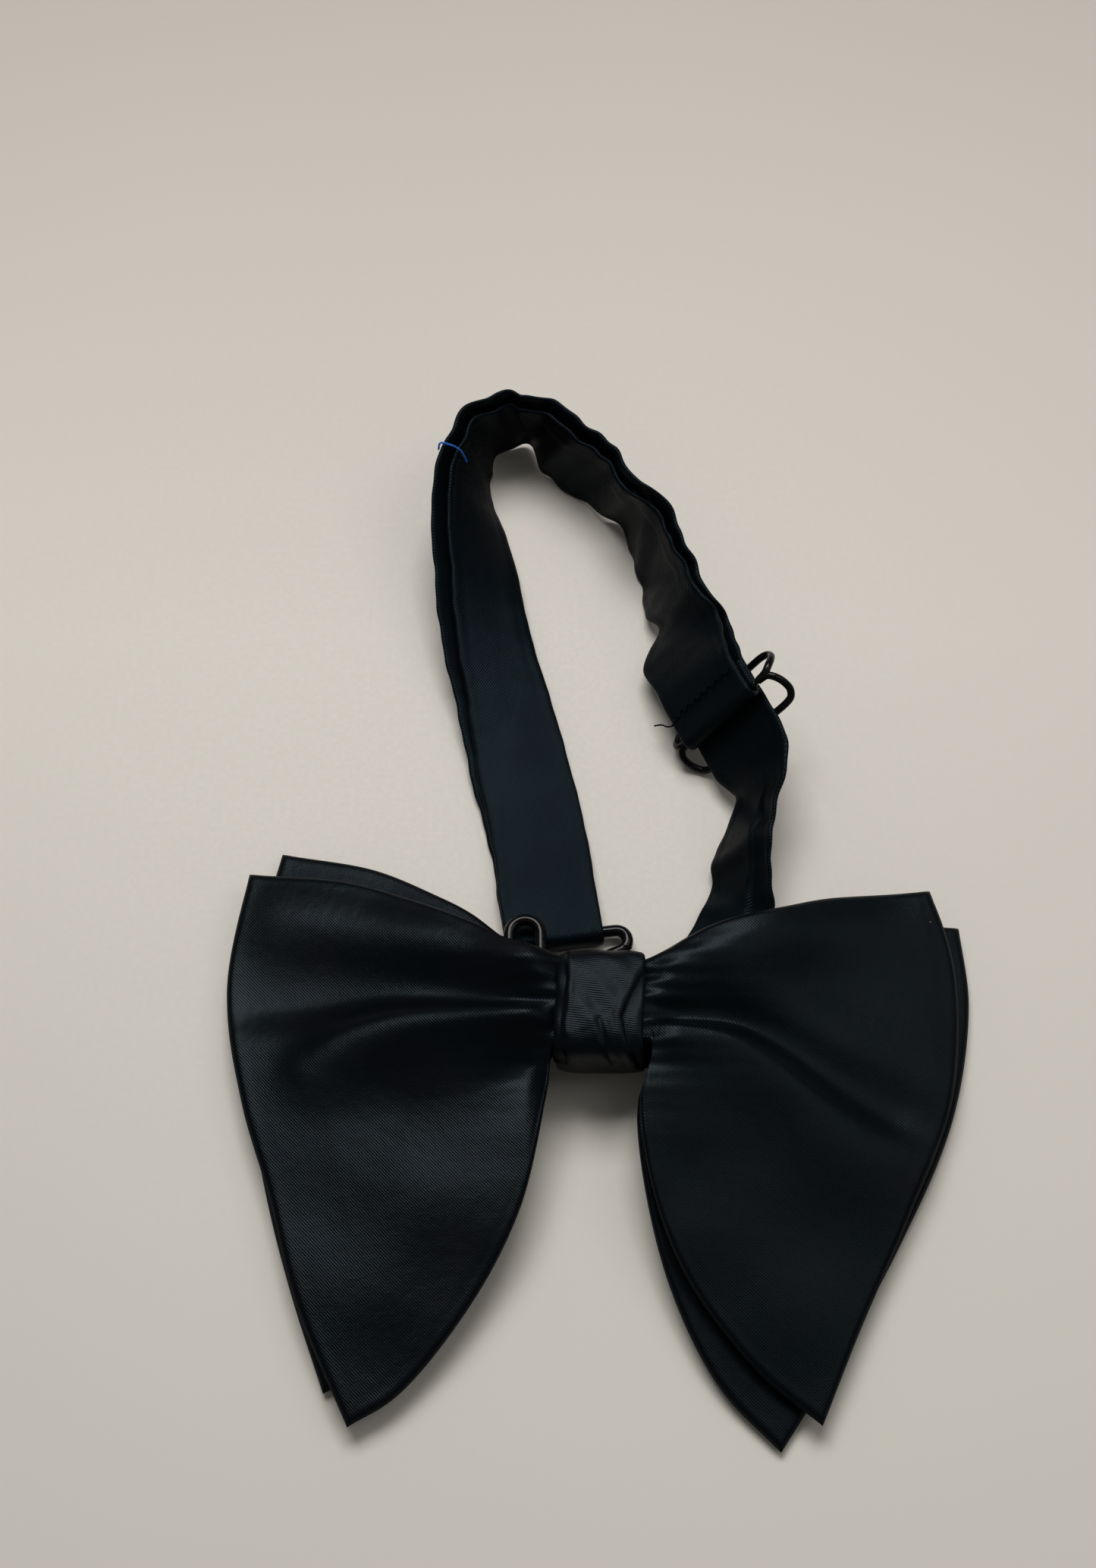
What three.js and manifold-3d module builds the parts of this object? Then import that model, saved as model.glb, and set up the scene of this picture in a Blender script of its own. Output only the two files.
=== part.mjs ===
// A pre-tied butterfly bow tie of black satin, with its adjustable neck strap hooked open behind it.
// Millimetres, +Z up from the table. The tie lies face up: +X to its right, +Y from the bow to the loop.
// While it is drawn, x = y = 0 is under the middle of the knot. At the end the whole tie is moved so that
// the origin is the middle of the bottom of its box.
import * as THREE from 'three';
import { mergeVertices } from 'three/addons/utils/BufferGeometryUtils.js';
import Module from 'manifold-3d';

const wasm = await Module();
wasm.setup();

// ---- driving dimensions ----
const GAP = 0.3;               // room kept between touching pieces
const STRAP_WIDTH = 20;        // neck strap, a 3/4 in satin strap
const STRAP_THICKNESS = 1;
const LAYER_PITCH = 1.8;       // from one strap layer to the next where they lie together
const LAYER_SHIFT = 3;         // how far the outer layer's edge shows past the return layer at the loop's top
const STRAP_BASE = 0.6;        // middle of a strap that lies flat on the table
const HOOK_WIRE = 2.4;
const SLIDER_WIRE = 1.6;
const BLADE_THICKNESS = 2.6;
const BLADE_WALL = 0.55;
const LINING_THICKNESS = 0.5;
const ROOT_HALF_HEIGHT = 8.4;  // gathered root of a blade, along Y
const ROOT_Y = -0.6;
const ROOT_X = 1.2;            // where the left and right roots stop short of each other
const PLEAT = 0.6;             // height of the pleats at a blade's root
const ROOT_REAR_Z = 11.3;      // middle of the rear roots
const ROOT_STEP = 4.55;        // from the rear roots to the front roots
const KNOT_HALF_WIDTH = 8;
const KNOT_WALL = 1;
const KNOT_HALF_HEIGHT = 11.2; // outside of the knot wrap, along Y
const KNOT_Y = -1.2;
const KNOT_BACK_Z = 5.9;       // outside of the knot wrap, at its back
const KNOT_FRONT_Z = 21.2;     // outside of the knot wrap, at its front
const THREAD = 0.5;
const RING_Z = 8;
const RING_WIDTH = 8.7;
const RING_LENGTH = 30;
const RING_X = -15.1;
const RING_Y = 6.3;

// ---- materials ----
const SATIN = new THREE.Color(0x0b0d12);
const COATED_WIRE = new THREE.Color(0x060607);
const BLACK_THREAD = new THREE.Color(0x101216);
const BLUE_THREAD = new THREE.Color(0x1f4fb5);
const CANVAS = new THREE.Color(0x2a2a2c);

const bowTie = new THREE.Group();

function add(name, geometry, color, roughness, metalness = 0) {
  const material = new THREE.MeshStandardMaterial({ color, roughness, metalness });
  const mesh = new THREE.Mesh(geometry, material);
  mesh.name = name;
  bowTie.add(mesh);
  return mesh;
}

// ---- joining and cutting ----
function welded(geometry) {
  const bare = geometry.clone();
  bare.deleteAttribute('normal');
  bare.deleteAttribute('uv');
  return mergeVertices(bare, 1e-4);
}

function toManifold(geometry) {
  const closed = welded(geometry);
  const vertProperties = new Float32Array(closed.attributes.position.array);
  const triVerts = new Uint32Array(closed.index.array);
  return new wasm.Manifold(new wasm.Mesh({ numProp: 3, vertProperties, triVerts }));
}

function toGeometry(solid) {
  const mesh = solid.getMesh();
  const geometry = new THREE.BufferGeometry();
  geometry.setAttribute('position', new THREE.BufferAttribute(new Float32Array(mesh.vertProperties), 3));
  geometry.setIndex(new THREE.BufferAttribute(new Uint32Array(mesh.triVerts), 1));
  geometry.computeVertexNormals();
  return geometry;
}

// ---- shapes bent from boxes ----
// Moves every vertex of a unit box to place(x, y, z), each of them from -0.5 to 0.5.
function bentBox(segmentsX, segmentsY, segmentsZ, place) {
  const geometry = welded(new THREE.BoxGeometry(1, 1, 1, segmentsX, segmentsY, segmentsZ));
  const position = geometry.attributes.position;
  for (let i = 0; i < position.count; i += 1) {
    const moved = place(position.getX(i), position.getY(i), position.getZ(i));
    position.setXYZ(i, moved.x, moved.y, moved.z);
  }
  geometry.computeVertexNormals();
  return geometry;
}

// A flat strip that follows a list of frames: centre, along, across and normal.
function ribbon(frames, width, thickness) {
  return bentBox(frames.length - 1, 2, 1, (x, y, z) => {
    const frame = frames[Math.round((x + 0.5) * (frames.length - 1))];
    return frame.centre.clone()
      .addScaledVector(frame.across, y * (frame.width ?? width))
      .addScaledVector(frame.normal, z * thickness);
  });
}

// A round wire along an open curve.
function wire(curve, diameter, steps) {
  const sides = diameter > 1 ? 8 : 5;
  const section = new THREE.Shape();
  for (let i = 0; i < sides; i += 1) {
    const angle = 2 * Math.PI * i / sides;
    const x = Math.cos(angle) * diameter / 2;
    const y = Math.sin(angle) * diameter / 2;
    if (i === 0) section.moveTo(x, y);
    else section.lineTo(x, y);
  }
  section.closePath();
  return new THREE.ExtrudeGeometry(section, { steps, extrudePath: curve, bevelEnabled: false });
}

// A round wire along a closed curve that keeps roughly square to up: a torus, drawn out along the curve.
function closedWire(curve, diameter, steps, up) {
  const geometry = welded(new THREE.TorusGeometry(2, 1, 8, steps));
  const position = geometry.attributes.position;
  const vertex = new THREE.Vector3();
  for (let i = 0; i < position.count; i += 1) {
    vertex.fromBufferAttribute(position, i);
    const turn = THREE.MathUtils.euclideanModulo(Math.atan2(vertex.y, vertex.x) / (2 * Math.PI), 1);
    const u = Math.round(turn * steps) / steps % 1;
    const out = Math.hypot(vertex.x, vertex.y) - 2;
    const centre = curve.getPointAt(u);
    const along = curve.getTangentAt(u);
    const side = new THREE.Vector3().crossVectors(along, up).normalize();
    const rise = new THREE.Vector3().crossVectors(side, along).normalize();
    centre.addScaledVector(side, out * diameter / 2).addScaledVector(rise, vertex.z * diameter / 2);
    position.setXYZ(i, centre.x, centre.y, centre.z);
  }
  geometry.computeVertexNormals();
  return geometry;
}

const smooth = (x) => THREE.MathUtils.smoothstep(x, 0, 1);

// ---- the strap's route ----
// Plan position of the middle of the strap and how far it leans: 0 lies flat, 90 stands on edge with the
// loop's outer edge up. It runs from the hook up the left, round the top and down the right to the ring tab.
const HOOK_END = [
  [-9, 16.6, 0], [-12.6, 41.5, 0], [-16.7, 63, 5], [-20.9, 84, 18], [-24.2, 99, 32],
  [-27.4, 114, 50], [-28.8, 125, 68], [-27, 134, 82], [-22.3, 139.6, 94], [-16.2, 140.8, 101],
  [-10, 136.6, 90], [-4.8, 131.2, 80], [1, 126.4, 86], [6, 121, 91], [11.2, 113.4, 84],
  [15, 102.5, 73], [18.2, 92, 63], [20.4, 83, 44],
];
const SLIDER_MIDDLE = new THREE.Vector2(27.2, 65);
const SLIDER_HEADING = new THREE.Vector2(0.42, -0.91).normalize();
const SLIDER_LEAN = 46;
const STRAIGHT = 10;           // half of the straight stretch that the slider runs on
const BOW_END = [
  [32.5, 49.5, 56], [31.4, 42.5, 58], [29.6, 34, 52], [28.2, 27, 38], [26.6, 20.3, 23],
  [23.5, 12.5, 6], [17.5, 3.4, 0], [9.5, KNOT_Y, 0], [4, KNOT_Y, 0], [-4, KNOT_Y, 0],
  [RING_X + 3.15, KNOT_Y, 0],
];

function sliderPoint(along) {
  return [
    SLIDER_MIDDLE.x + SLIDER_HEADING.x * along,
    SLIDER_MIDDLE.y + SLIDER_HEADING.y * along,
    SLIDER_LEAN,
  ];
}

const routePoints = [
  ...HOOK_END,
  sliderPoint(-STRAIGHT), sliderPoint(-STRAIGHT / 2), sliderPoint(0), sliderPoint(STRAIGHT / 2),
  sliderPoint(STRAIGHT),
  ...BOW_END,
];
const LEAN_SCALE = 0.02;       // the lean rides along as a small third coordinate
const route = new THREE.CatmullRomCurve3(
  routePoints.map(([x, y, lean]) => new THREE.Vector3(x, y, lean * LEAN_SCALE)),
  false,
  'centripetal',
);
route.arcLengthDivisions = 2000;
const ROUTE_LENGTH = route.getLength();

// Distance along the route of the point nearest to (x, y).
function distanceTo(x, y) {
  let best = 0;
  let bestGap = Infinity;
  for (let s = 0; s <= ROUTE_LENGTH; s += 0.25) {
    const point = route.getPointAt(s / ROUTE_LENGTH);
    const gap = Math.hypot(point.x - x, point.y - y);
    if (gap < bestGap) {
      best = s;
      bestGap = gap;
    }
  }
  return best;
}

const SLIDER_AT = distanceTo(SLIDER_MIDDLE.x, SLIDER_MIDDLE.y);
const KNOT_AT = distanceTo(KNOT_HALF_WIDTH + 1.5, KNOT_Y);
const SLIDER_RISE = 3.3;       // the strap is lifted off the table by the slider's outer bars
const KNOT_STRAP_Z = KNOT_BACK_Z + KNOT_WALL + GAP + STRAP_THICKNESS / 2;

// Height of the strap's lower edge above the table.
function baseHeight(s) {
  const nearSlider = smooth(1 - (Math.abs(s - SLIDER_AT) - 10) / 22);
  const nearKnot = smooth(1 - (KNOT_AT - s) / 26);
  return STRAP_BASE + SLIDER_RISE * nearSlider + (KNOT_STRAP_Z - STRAP_BASE) * nearKnot;
}

// Frame of the strap at distance s, shifted across it and lifted off its lower face.
function strapFrame(s, shift = 0, lift = 0) {
  const u = THREE.MathUtils.clamp(s / ROUTE_LENGTH, 0, 1);
  const point = route.getPointAt(u);
  const heading = route.getTangentAt(u);
  const lean = THREE.MathUtils.degToRad(point.z / LEAN_SCALE);
  const along = new THREE.Vector3(heading.x, heading.y, 0).normalize();
  const outward = new THREE.Vector3(-along.y, along.x, 0);
  const up = new THREE.Vector3(0, 0, 1);
  const across = outward.clone().multiplyScalar(Math.cos(lean)).addScaledVector(up, Math.sin(lean));
  const normal = new THREE.Vector3().crossVectors(along, across);
  const centre = new THREE.Vector3(point.x, point.y, baseHeight(s) + Math.sin(lean) * STRAP_WIDTH / 2);
  centre.addScaledVector(across, shift).addScaledVector(normal, lift);
  return { centre, along, across, normal };
}

function turned(frame, direction) {
  return {
    centre: frame.centre,
    along: frame.along.clone().multiplyScalar(direction),
    across: frame.across,
    normal: frame.normal.clone().multiplyScalar(direction),
  };
}

function frames(from, to, pitch, make) {
  const count = Math.max(2, Math.ceil(Math.abs(to - from) / pitch));
  return Array.from({ length: count + 1 }, (_, i) => make(from + (to - from) * i / count));
}

// Half turn of the strap round a bar that lies across it.
function foldRound(middle, radius, direction, steps = 6) {
  return Array.from({ length: steps + 1 }, (_, i) => {
    const angle = Math.PI * i / steps;
    const normal = middle.normal.clone().multiplyScalar(-Math.cos(angle))
      .addScaledVector(middle.along, direction * Math.sin(angle));
    const centre = middle.centre.clone().addScaledVector(normal, radius);
    return { centre, across: middle.across, normal };
  });
}

// ---- the strap ----
const HOOK_BAR_AT = 1.6;
const FOLD_RADIUS = (HOOK_WIRE + STRAP_THICKNESS) / 2 + GAP;
const BEND_FROM = distanceTo(-24.2, 99);   // the strap's end swings from here, where it starts to stand on edge
const BEND_LENGTH = 26;
const BEND_TO = BEND_FROM + BEND_LENGTH;
const STRAP_PITCH = 3;
const SEWN_END = 11;                       // sewn end of the return layer, before the slider bar
const STRETCH_FROM = SLIDER_AT - 46;       // from here to the sewn end the return layer gives as the slider runs
const STRETCH_TO = SLIDER_AT - SEWN_END;
const LAYER_END = SLIDER_AT - STRAIGHT - 8;
const END_GAP = GAP / 2;

// The outer layer's edge moves out from the hook fold to the top of the loop, and back in at the slider.
function outerShift(s) {
  return LAYER_SHIFT * smooth(s / 90) * smooth((LAYER_END - s) / 40);
}

// The two layers part where they go round the hook's bar and over the slider's bar.
const BAR_LIFT = STRAP_THICKNESS / 2 + GAP + STRAP_THICKNESS + GAP + SLIDER_WIRE / 2;
const SEWN_RADIUS = (SLIDER_WIRE + STRAP_THICKNESS) / 2 + GAP;
function returnLift(s) {
  const atHook = 2 * FOLD_RADIUS - LAYER_PITCH;
  const atSlider = BAR_LIFT + SEWN_RADIUS - LAYER_PITCH;
  return LAYER_PITCH
    + atHook * smooth(1 - (s - HOOK_BAR_AT) / 26)
    + atSlider * smooth(1 - (SLIDER_AT - 9 - s) / 22);
}

const outerLayer = (s) => strapFrame(s, outerShift(s), 0);
const returnLayer = (s) => strapFrame(s, 0, returnLift(s));
const fabric = (list) => ribbon(list, STRAP_WIDTH, STRAP_THICKNESS);

function addStrapLayers() {
  const fold = foldRound(strapFrame(HOOK_BAR_AT, 0, FOLD_RADIUS), FOLD_RADIUS, -1);
  const hookEnd = [
    ...frames(BEND_FROM - END_GAP, HOOK_BAR_AT + 1, STRAP_PITCH, (s) => turned(outerLayer(s), -1)),
    ...fold,
    ...frames(HOOK_BAR_AT + 1, BEND_FROM - END_GAP, STRAP_PITCH, returnLayer),
  ];
  add('strap_hook_end', fabric(hookEnd), SATIN, 0.45);

  const stretches = [
    ['strap_outer_bend', outerLayer, BEND_FROM, BEND_TO],
    ['strap_return_bend', returnLayer, BEND_FROM, BEND_TO],
    ['strap_outer_layer', outerLayer, BEND_TO, LAYER_END],
    ['strap_return_layer', returnLayer, BEND_TO, STRETCH_FROM],
    ['strap_return_run', returnLayer, STRETCH_FROM, STRETCH_TO],
  ];
  for (const [name, layer, from, to] of stretches) {
    add(name, fabric(frames(from + END_GAP, to - END_GAP, STRAP_PITCH, layer)), SATIN, 0.45);
  }
}

// The return layer's end goes over the slider's bar, round it and back beneath, where it is sewn.
function addSewnEnd() {
  const bar = strapFrame(SLIDER_AT, 0, BAR_LIFT);
  const fold = foldRound(bar, SEWN_RADIUS, 1).reverse().map((frame) => ({
    ...frame,
    normal: frame.normal.clone(),
  }));
  const under = (s) => turned(strapFrame(s, 0, BAR_LIFT - SEWN_RADIUS), -1);
  const sewnEnd = [
    ...frames(STRETCH_TO + END_GAP, SLIDER_AT - 0.5, STRAP_PITCH, returnLayer),
    ...fold,
    ...frames(SLIDER_AT - 0.5, SLIDER_AT - 7, STRAP_PITCH, under),
  ];
  add('strap_sewn_end', fabric(sewnEnd), SATIN, 0.45);
}

// From the slider the strap runs on alone behind the right blades and the knot, rises over the ring's near
// side and turns back beneath it. There it is gathered to the room that the ring has.
const TAB_RISE = 3.6;
const TAB_WIDTH = 14;
const RUN_WIDTH = 16;          // drawn together between the slider and the bow
const KNOT_STRAP_WIDTH = 19;   // where the knot wrap holds it
const TAB_SHIFT = -4.4;
function tabFrame(s, lift, gather) {
  const frame = strapFrame(s, TAB_SHIFT * gather, lift);
  return { ...frame, width: THREE.MathUtils.lerp(KNOT_STRAP_WIDTH, TAB_WIDTH, gather) };
}

function addBackStrap() {
  const end = ROUTE_LENGTH;
  const rise = RING_Z + FOLD_RADIUS - KNOT_STRAP_Z;
  const narrowed = (s) => {
    const run = THREE.MathUtils.lerp(STRAP_WIDTH, RUN_WIDTH, smooth((s - SLIDER_AT - 11) / 9));
    const width = THREE.MathUtils.lerp(run, KNOT_STRAP_WIDTH, smooth((s - KNOT_AT + 22) / 20));
    return { ...strapFrame(s), width };
  };
  const over = (s) => {
    const gather = smooth((s - end + TAB_RISE) / TAB_RISE);
    return tabFrame(s, rise * gather, gather);
  };
  const ringSide = tabFrame(end, RING_Z - KNOT_STRAP_Z, 1);
  const fold = foldRound(ringSide, FOLD_RADIUS, 1).reverse().map((frame) => ({ ...frame, width: TAB_WIDTH }));
  const under = (s) => turned(tabFrame(s, RING_Z - FOLD_RADIUS - KNOT_STRAP_Z, 1), -1);
  const backStrap = [
    ...frames(LAYER_END + END_GAP, end - TAB_RISE, STRAP_PITCH, narrowed),
    ...frames(end - TAB_RISE * 0.8, end - 0.2, 0.8, over),
    ...fold,
    ...frames(end - 0.2, end - 2.6, 1.2, under),
  ];
  add('strap_back', fabric(backStrap), SATIN, 0.45);
}
addStrapLayers();
addSewnEnd();
addBackStrap();

// ---- the wire pieces ----
// A point in a strap frame: along the strap, across it and off its face.
function inFrame(frame, along, across, off) {
  return frame.centre.clone()
    .addScaledVector(frame.along, along)
    .addScaledVector(frame.across, across)
    .addScaledVector(frame.normal, off);
}

// Half circle of points in the plan of a frame, from one side of its middle to the other.
function halfRound(middleAlong, middleAcross, radius, fromAngle, toAngle, steps = 6) {
  return Array.from({ length: steps + 1 }, (_, i) => {
    const angle = THREE.MathUtils.degToRad(fromAngle + (toAngle - fromAngle) * i / steps);
    return [middleAlong + radius * Math.cos(angle), middleAcross + radius * Math.sin(angle)];
  });
}

// The hook is one wire, bent flat like a 9: an inner arm, the bar in the strap's fold, and the long outer arm.
function addHook() {
  const bar = strapFrame(HOOK_BAR_AT, 0, FOLD_RADIUS);
  const turnRadius = 2.2;
  const turnAcross = 12.5;
  const plan = [
    [-2 * turnRadius, 2.5],
    [-2 * turnRadius, 8],
    ...halfRound(-turnRadius, turnAcross, turnRadius, 180, 0),
    [0, 6], [0, 0], [0, -6],
    ...halfRound(-turnRadius, -turnAcross, turnRadius, 0, -160),
    [-5.6, -9.4], [-8.2, -6.8], [-10.4, -2.6], [-11, 3], [-10.6, 8], [-9.4, 11.2],
  ];
  const points = plan.map(([along, across]) => inFrame(bar, along, across, 0));
  const curve = new THREE.CatmullRomCurve3(points, false, 'centripetal');
  add('hook', wire(curve, HOOK_WIRE, 46), COATED_WIRE, 0.12, 0.2);
}

// The ring is a long oval: two straight sides with a half circle at each end.
function addRing() {
  const radius = (RING_WIDTH - HOOK_WIRE) / 2;
  const straight = (RING_LENGTH - RING_WIDTH) / 2;
  const oval = new THREE.CurvePath();
  const at = (x, y) => new THREE.Vector3(RING_X + x, RING_Y + y, RING_Z);
  const half = (sign) => new THREE.CatmullRomCurve3(
    halfRound(0, 0, radius, 0, 180, 12).map(([x, y]) => at(sign * x, sign * (straight + y))),
  );
  oval.add(half(1));
  oval.add(new THREE.LineCurve3(at(-radius, straight), at(-radius, -straight)));
  oval.add(half(-1));
  oval.add(new THREE.LineCurve3(at(radius, -straight), at(radius, straight)));
  add('ring', closedWire(oval, HOOK_WIRE, 40, new THREE.Vector3(0, 0, 1)), COATED_WIRE, 0.12, 0.2);
}

// The slider is a figure of eight: two long outer bars under the strap, joined round its edges by lobes that
// rise to the middle, where the bar with the sewn end lies over the strap.
const LOBE_RADIUS = 2.9;
const LOBE_ACROSS = 11.6;
const SLIDER_SHIFT = 1;         // the slider sits a little towards the strap's outer edge
const OUTER_BAR_DROP = STRAP_THICKNESS / 2 + 1.5 * GAP + SLIDER_WIRE / 2;
function addSlider() {
  const frame = strapFrame(SLIDER_AT);
  const off = (along) => THREE.MathUtils.lerp(BAR_LIFT, -OUTER_BAR_DROP, smooth(Math.abs(along) / (2 * LOBE_RADIUS)));
  const point = ([along, across]) => inFrame(frame, along, across + SLIDER_SHIFT, off(along));
  const mirrored = (list) => list.map(([along, across]) => [-along, -across]);
  const upperLobe = [
    [2 * LOBE_RADIUS, 0], [2 * LOBE_RADIUS, 6],
    ...halfRound(LOBE_RADIUS, LOBE_ACROSS, LOBE_RADIUS, 0, 150, 5),
    [0, LOBE_ACROSS - 1],
    ...halfRound(-LOBE_RADIUS, LOBE_ACROSS, LOBE_RADIUS, 30, 180, 5),
    [-2 * LOBE_RADIUS, 6],
  ];
  const curve = new THREE.CatmullRomCurve3(
    [...upperLobe, ...mirrored(upperLobe)].map(point),
    true,
    'centripetal',
  );
  add('slider_frame', closedWire(curve, SLIDER_WIRE, 52, frame.normal), COATED_WIRE, 0.15, 0.2);

  const reach = LOBE_ACROSS - 1 - SLIDER_WIRE / 2 - GAP;
  const bar = new THREE.LineCurve3(
    inFrame(frame, 0, SLIDER_SHIFT - reach, BAR_LIFT),
    inFrame(frame, 0, SLIDER_SHIFT + reach, BAR_LIFT),
  );
  add('slider_bar', wire(bar, SLIDER_WIRE, 2), COATED_WIRE, 0.15, 0.2);
}
addHook();
addRing();
addSlider();

// ---- the blades ----
// An outline runs along the top edge from the root to the corner, down the outer edge to the tip, and along
// the lower edge from the root to the tip. The lists hold x away from the knot, so both sides read alike.
const FRONT_LEFT = {
  side: -1,
  top: [[8.5, 8.8], [18, 12.2], [26, 17.3], [38.7, 23.6], [51.5, 28.3], [71.6, 31.1]],
  outer: [[74.7, 6.8], [70.1, -17.1], [63.5, -36.2], [57.5, -55.9]],
  tip: [47, -78],
  lower: [[9, -9], [10.6, -17.4], [15.6, -39.2], [24.7, -56.5], [38, -72.5]],
};
const REAR_LEFT = {
  side: -1,
  top: [[8.5, 8.8], [17, 13], [25.8, 20.9], [32.6, 25.3], [45.7, 32.2], [65.6, 37.1]],
  outer: [[70.5, 12], [69.5, -12], [65, -33.4], [59, -53]],
  tip: [52, -71.5],
  lower: [[9, -9], [12, -18], [19, -38], [29, -54], [41, -66]],
};
const FRONT_RIGHT = {
  side: 1,
  top: [[8.5, 8.4], [20.7, 14.9], [35.1, 19.5], [46.5, 23.5], [67.1, 26.9]],
  outer: [[70.8, 8.8], [67.9, -17.1], [57.8, -39.9], [47.2, -61]],
  tip: [39.4, -77.8],
  lower: [[9, -9], [9, -12.8], [7.2, -18.5], [8.4, -33], [14.5, -50.6], [27.3, -67.9]],
};
const REAR_RIGHT = {
  side: 1,
  top: [[8.5, 8.4], [20, 13.6], [34, 17.5], [50, 20.5], [73.2, 20.4]],
  outer: [[73.8, 3.5], [68.4, -20.1], [56, -45], [43, -66]],
  tip: [32, -82],
  lower: [[9, -9], [8.9, -12.6], [6.8, -18.5], [7.1, -30], [12, -52], [21, -70.5]],
};

const DRAPE_REACH = 43;        // how far out the blades take to come down
const REAR_REST = 0.95;        // middle of a rear blade where it lies on the table
const OUTER_STEP = 3.5;        // from the rear blade to the front one, away from the knot

function bellRise(x, y, middleX, middleY, reach) {
  return Math.exp(-((x - middleX) ** 2 + (y - middleY) ** 2) / reach ** 2);
}

// Height of the rear blades' middle face over the table, and of the front ones with step.
function drape(side, x, y, step) {
  const away = Math.max(0, Math.hypot(x - 2, y * 0.9) - 9);
  const fall = Math.exp(-((away / DRAPE_REACH) ** 2));
  const pleats = PLEAT * Math.cos(y * 0.72) * Math.exp(-away / 9);
  const overTab = side < 0 ? 3.5 * bellRise(x, y, 15, 5.5, 9) : 0;
  const overStrap = side > 0 ? 3.8 * bellRise(x, y, 31, 21, 14) : 0;
  const rear = REAR_REST + (ROOT_REAR_Z - REAR_REST) * fall + pleats + overTab + overStrap;
  const stepHere = OUTER_STEP + (ROOT_STEP - OUTER_STEP) * fall;
  return rear + step * stepHere;
}

// Returns a function of u (root to outer edge) and v (lower to top edge) that gives a plan point.
function bladePlan(outline) {
  const point = ([x, y]) => new THREE.Vector3(x, y, 0);
  const curve = (list) => new THREE.CatmullRomCurve3(list.map(point), false, 'centripetal');
  const rootTop = [ROOT_X, ROOT_Y + ROOT_HALF_HEIGHT];
  const rootLow = [ROOT_X, ROOT_Y - ROOT_HALF_HEIGHT];
  const corner = outline.top[outline.top.length - 1];
  const top = curve([rootTop, ...outline.top]);
  const lower = curve([rootLow, ...outline.lower, outline.tip]);
  const outer = curve([corner, ...outline.outer, outline.tip]);
  const cornerPoint = point(corner);
  const tipPoint = point(outline.tip);
  return (u, v) => {
    const inside = THREE.MathUtils.clamp(u, 0, 1);
    const root = point(rootLow).lerp(point(rootTop), v);
    const between = lower.getPointAt(inside).lerp(top.getPointAt(inside), v);
    const acrossPlan = root.clone().lerp(outer.getPointAt(1 - v), inside);
    const corners = root.clone().lerp(tipPoint.clone().lerp(cornerPoint, v), inside);
    const plan = between.add(acrossPlan).sub(corners);
    plan.x += Math.min(0, u) * 60;
    return plan;
  };
}

// A sheet in the blade's shape between the given edges, thick about its middle face.
function bladeSheet(outline, step, edges, thickness) {
  const plan = bladePlan(outline);
  const { from, to, low, high } = edges;
  return bentBox(13, 9, 1, (x, y, z) => {
    const u = THREE.MathUtils.lerp(from, to, x + 0.5);
    const v = THREE.MathUtils.lerp(low, high, outline.side > 0 ? y + 0.5 : 0.5 - y);
    const point = plan(u, v);
    const height = drape(outline.side, point.x, point.y, step) + z * thickness;
    return new THREE.Vector3(outline.side * point.x, point.y, height);
  });
}

const WHOLE = { from: 0, to: 1, low: 0, high: 1 };
const POCKET = { from: -0.02, to: 0.95, low: 0.06, high: 0.94 };
const LINING = { from: 0.2, to: 0.92, low: 0.1, high: 0.9 };

function addBlade(name, outline, step) {
  const shell = toManifold(bladeSheet(outline, step, WHOLE, BLADE_THICKNESS));
  const pocket = toManifold(bladeSheet(outline, step, POCKET, BLADE_THICKNESS - 2 * BLADE_WALL));
  add(`${name}_blade`, toGeometry(shell.subtract(pocket)), SATIN, 0.45);
  const lining = bladeSheet(outline, step, LINING, LINING_THICKNESS);
  add(`${name}_interlining`, lining, CANVAS, 0.9);
}
addBlade('rear_left', REAR_LEFT, 0);
addBlade('rear_right', REAR_RIGHT, 0);
addBlade('front_left', FRONT_LEFT, 1);
addBlade('front_right', FRONT_RIGHT, 1);

// ---- the knot ----
// A band that closes round the roots: a rounded oblong in Y and Z, drawn out along X.
function roundedOblong(halfHeight, low, high, radius) {
  const shape = new THREE.Shape();
  shape.moveTo(-halfHeight + radius, low);
  shape.lineTo(halfHeight - radius, low);
  shape.absarc(halfHeight - radius, low + radius, radius, -Math.PI / 2, 0);
  shape.absarc(halfHeight - radius, high - radius, radius, 0, Math.PI / 2);
  shape.absarc(-halfHeight + radius, high - radius, radius, Math.PI / 2, Math.PI);
  shape.absarc(-halfHeight + radius, low + radius, radius, Math.PI, 1.5 * Math.PI);
  return shape;
}

function band(halfHeight, low, high, wall, radius, halfWidth) {
  const shape = roundedOblong(halfHeight, low, high, radius);
  const hole = roundedOblong(halfHeight - wall, low + wall, high - wall, Math.max(0.2, radius - wall));
  shape.holes.push(hole);
  const geometry = new THREE.ExtrudeGeometry(shape, {
    depth: 2 * halfWidth, steps: 1, bevelEnabled: false, curveSegments: 5,
  });
  geometry.translate(0, 0, -halfWidth);
  const yzx = new THREE.Matrix4().makeBasis(
    new THREE.Vector3(0, 1, 0),
    new THREE.Vector3(0, 0, 1),
    new THREE.Vector3(1, 0, 0),
  );
  return geometry.applyMatrix4(yzx).translate(0, KNOT_Y, 0);
}

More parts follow.
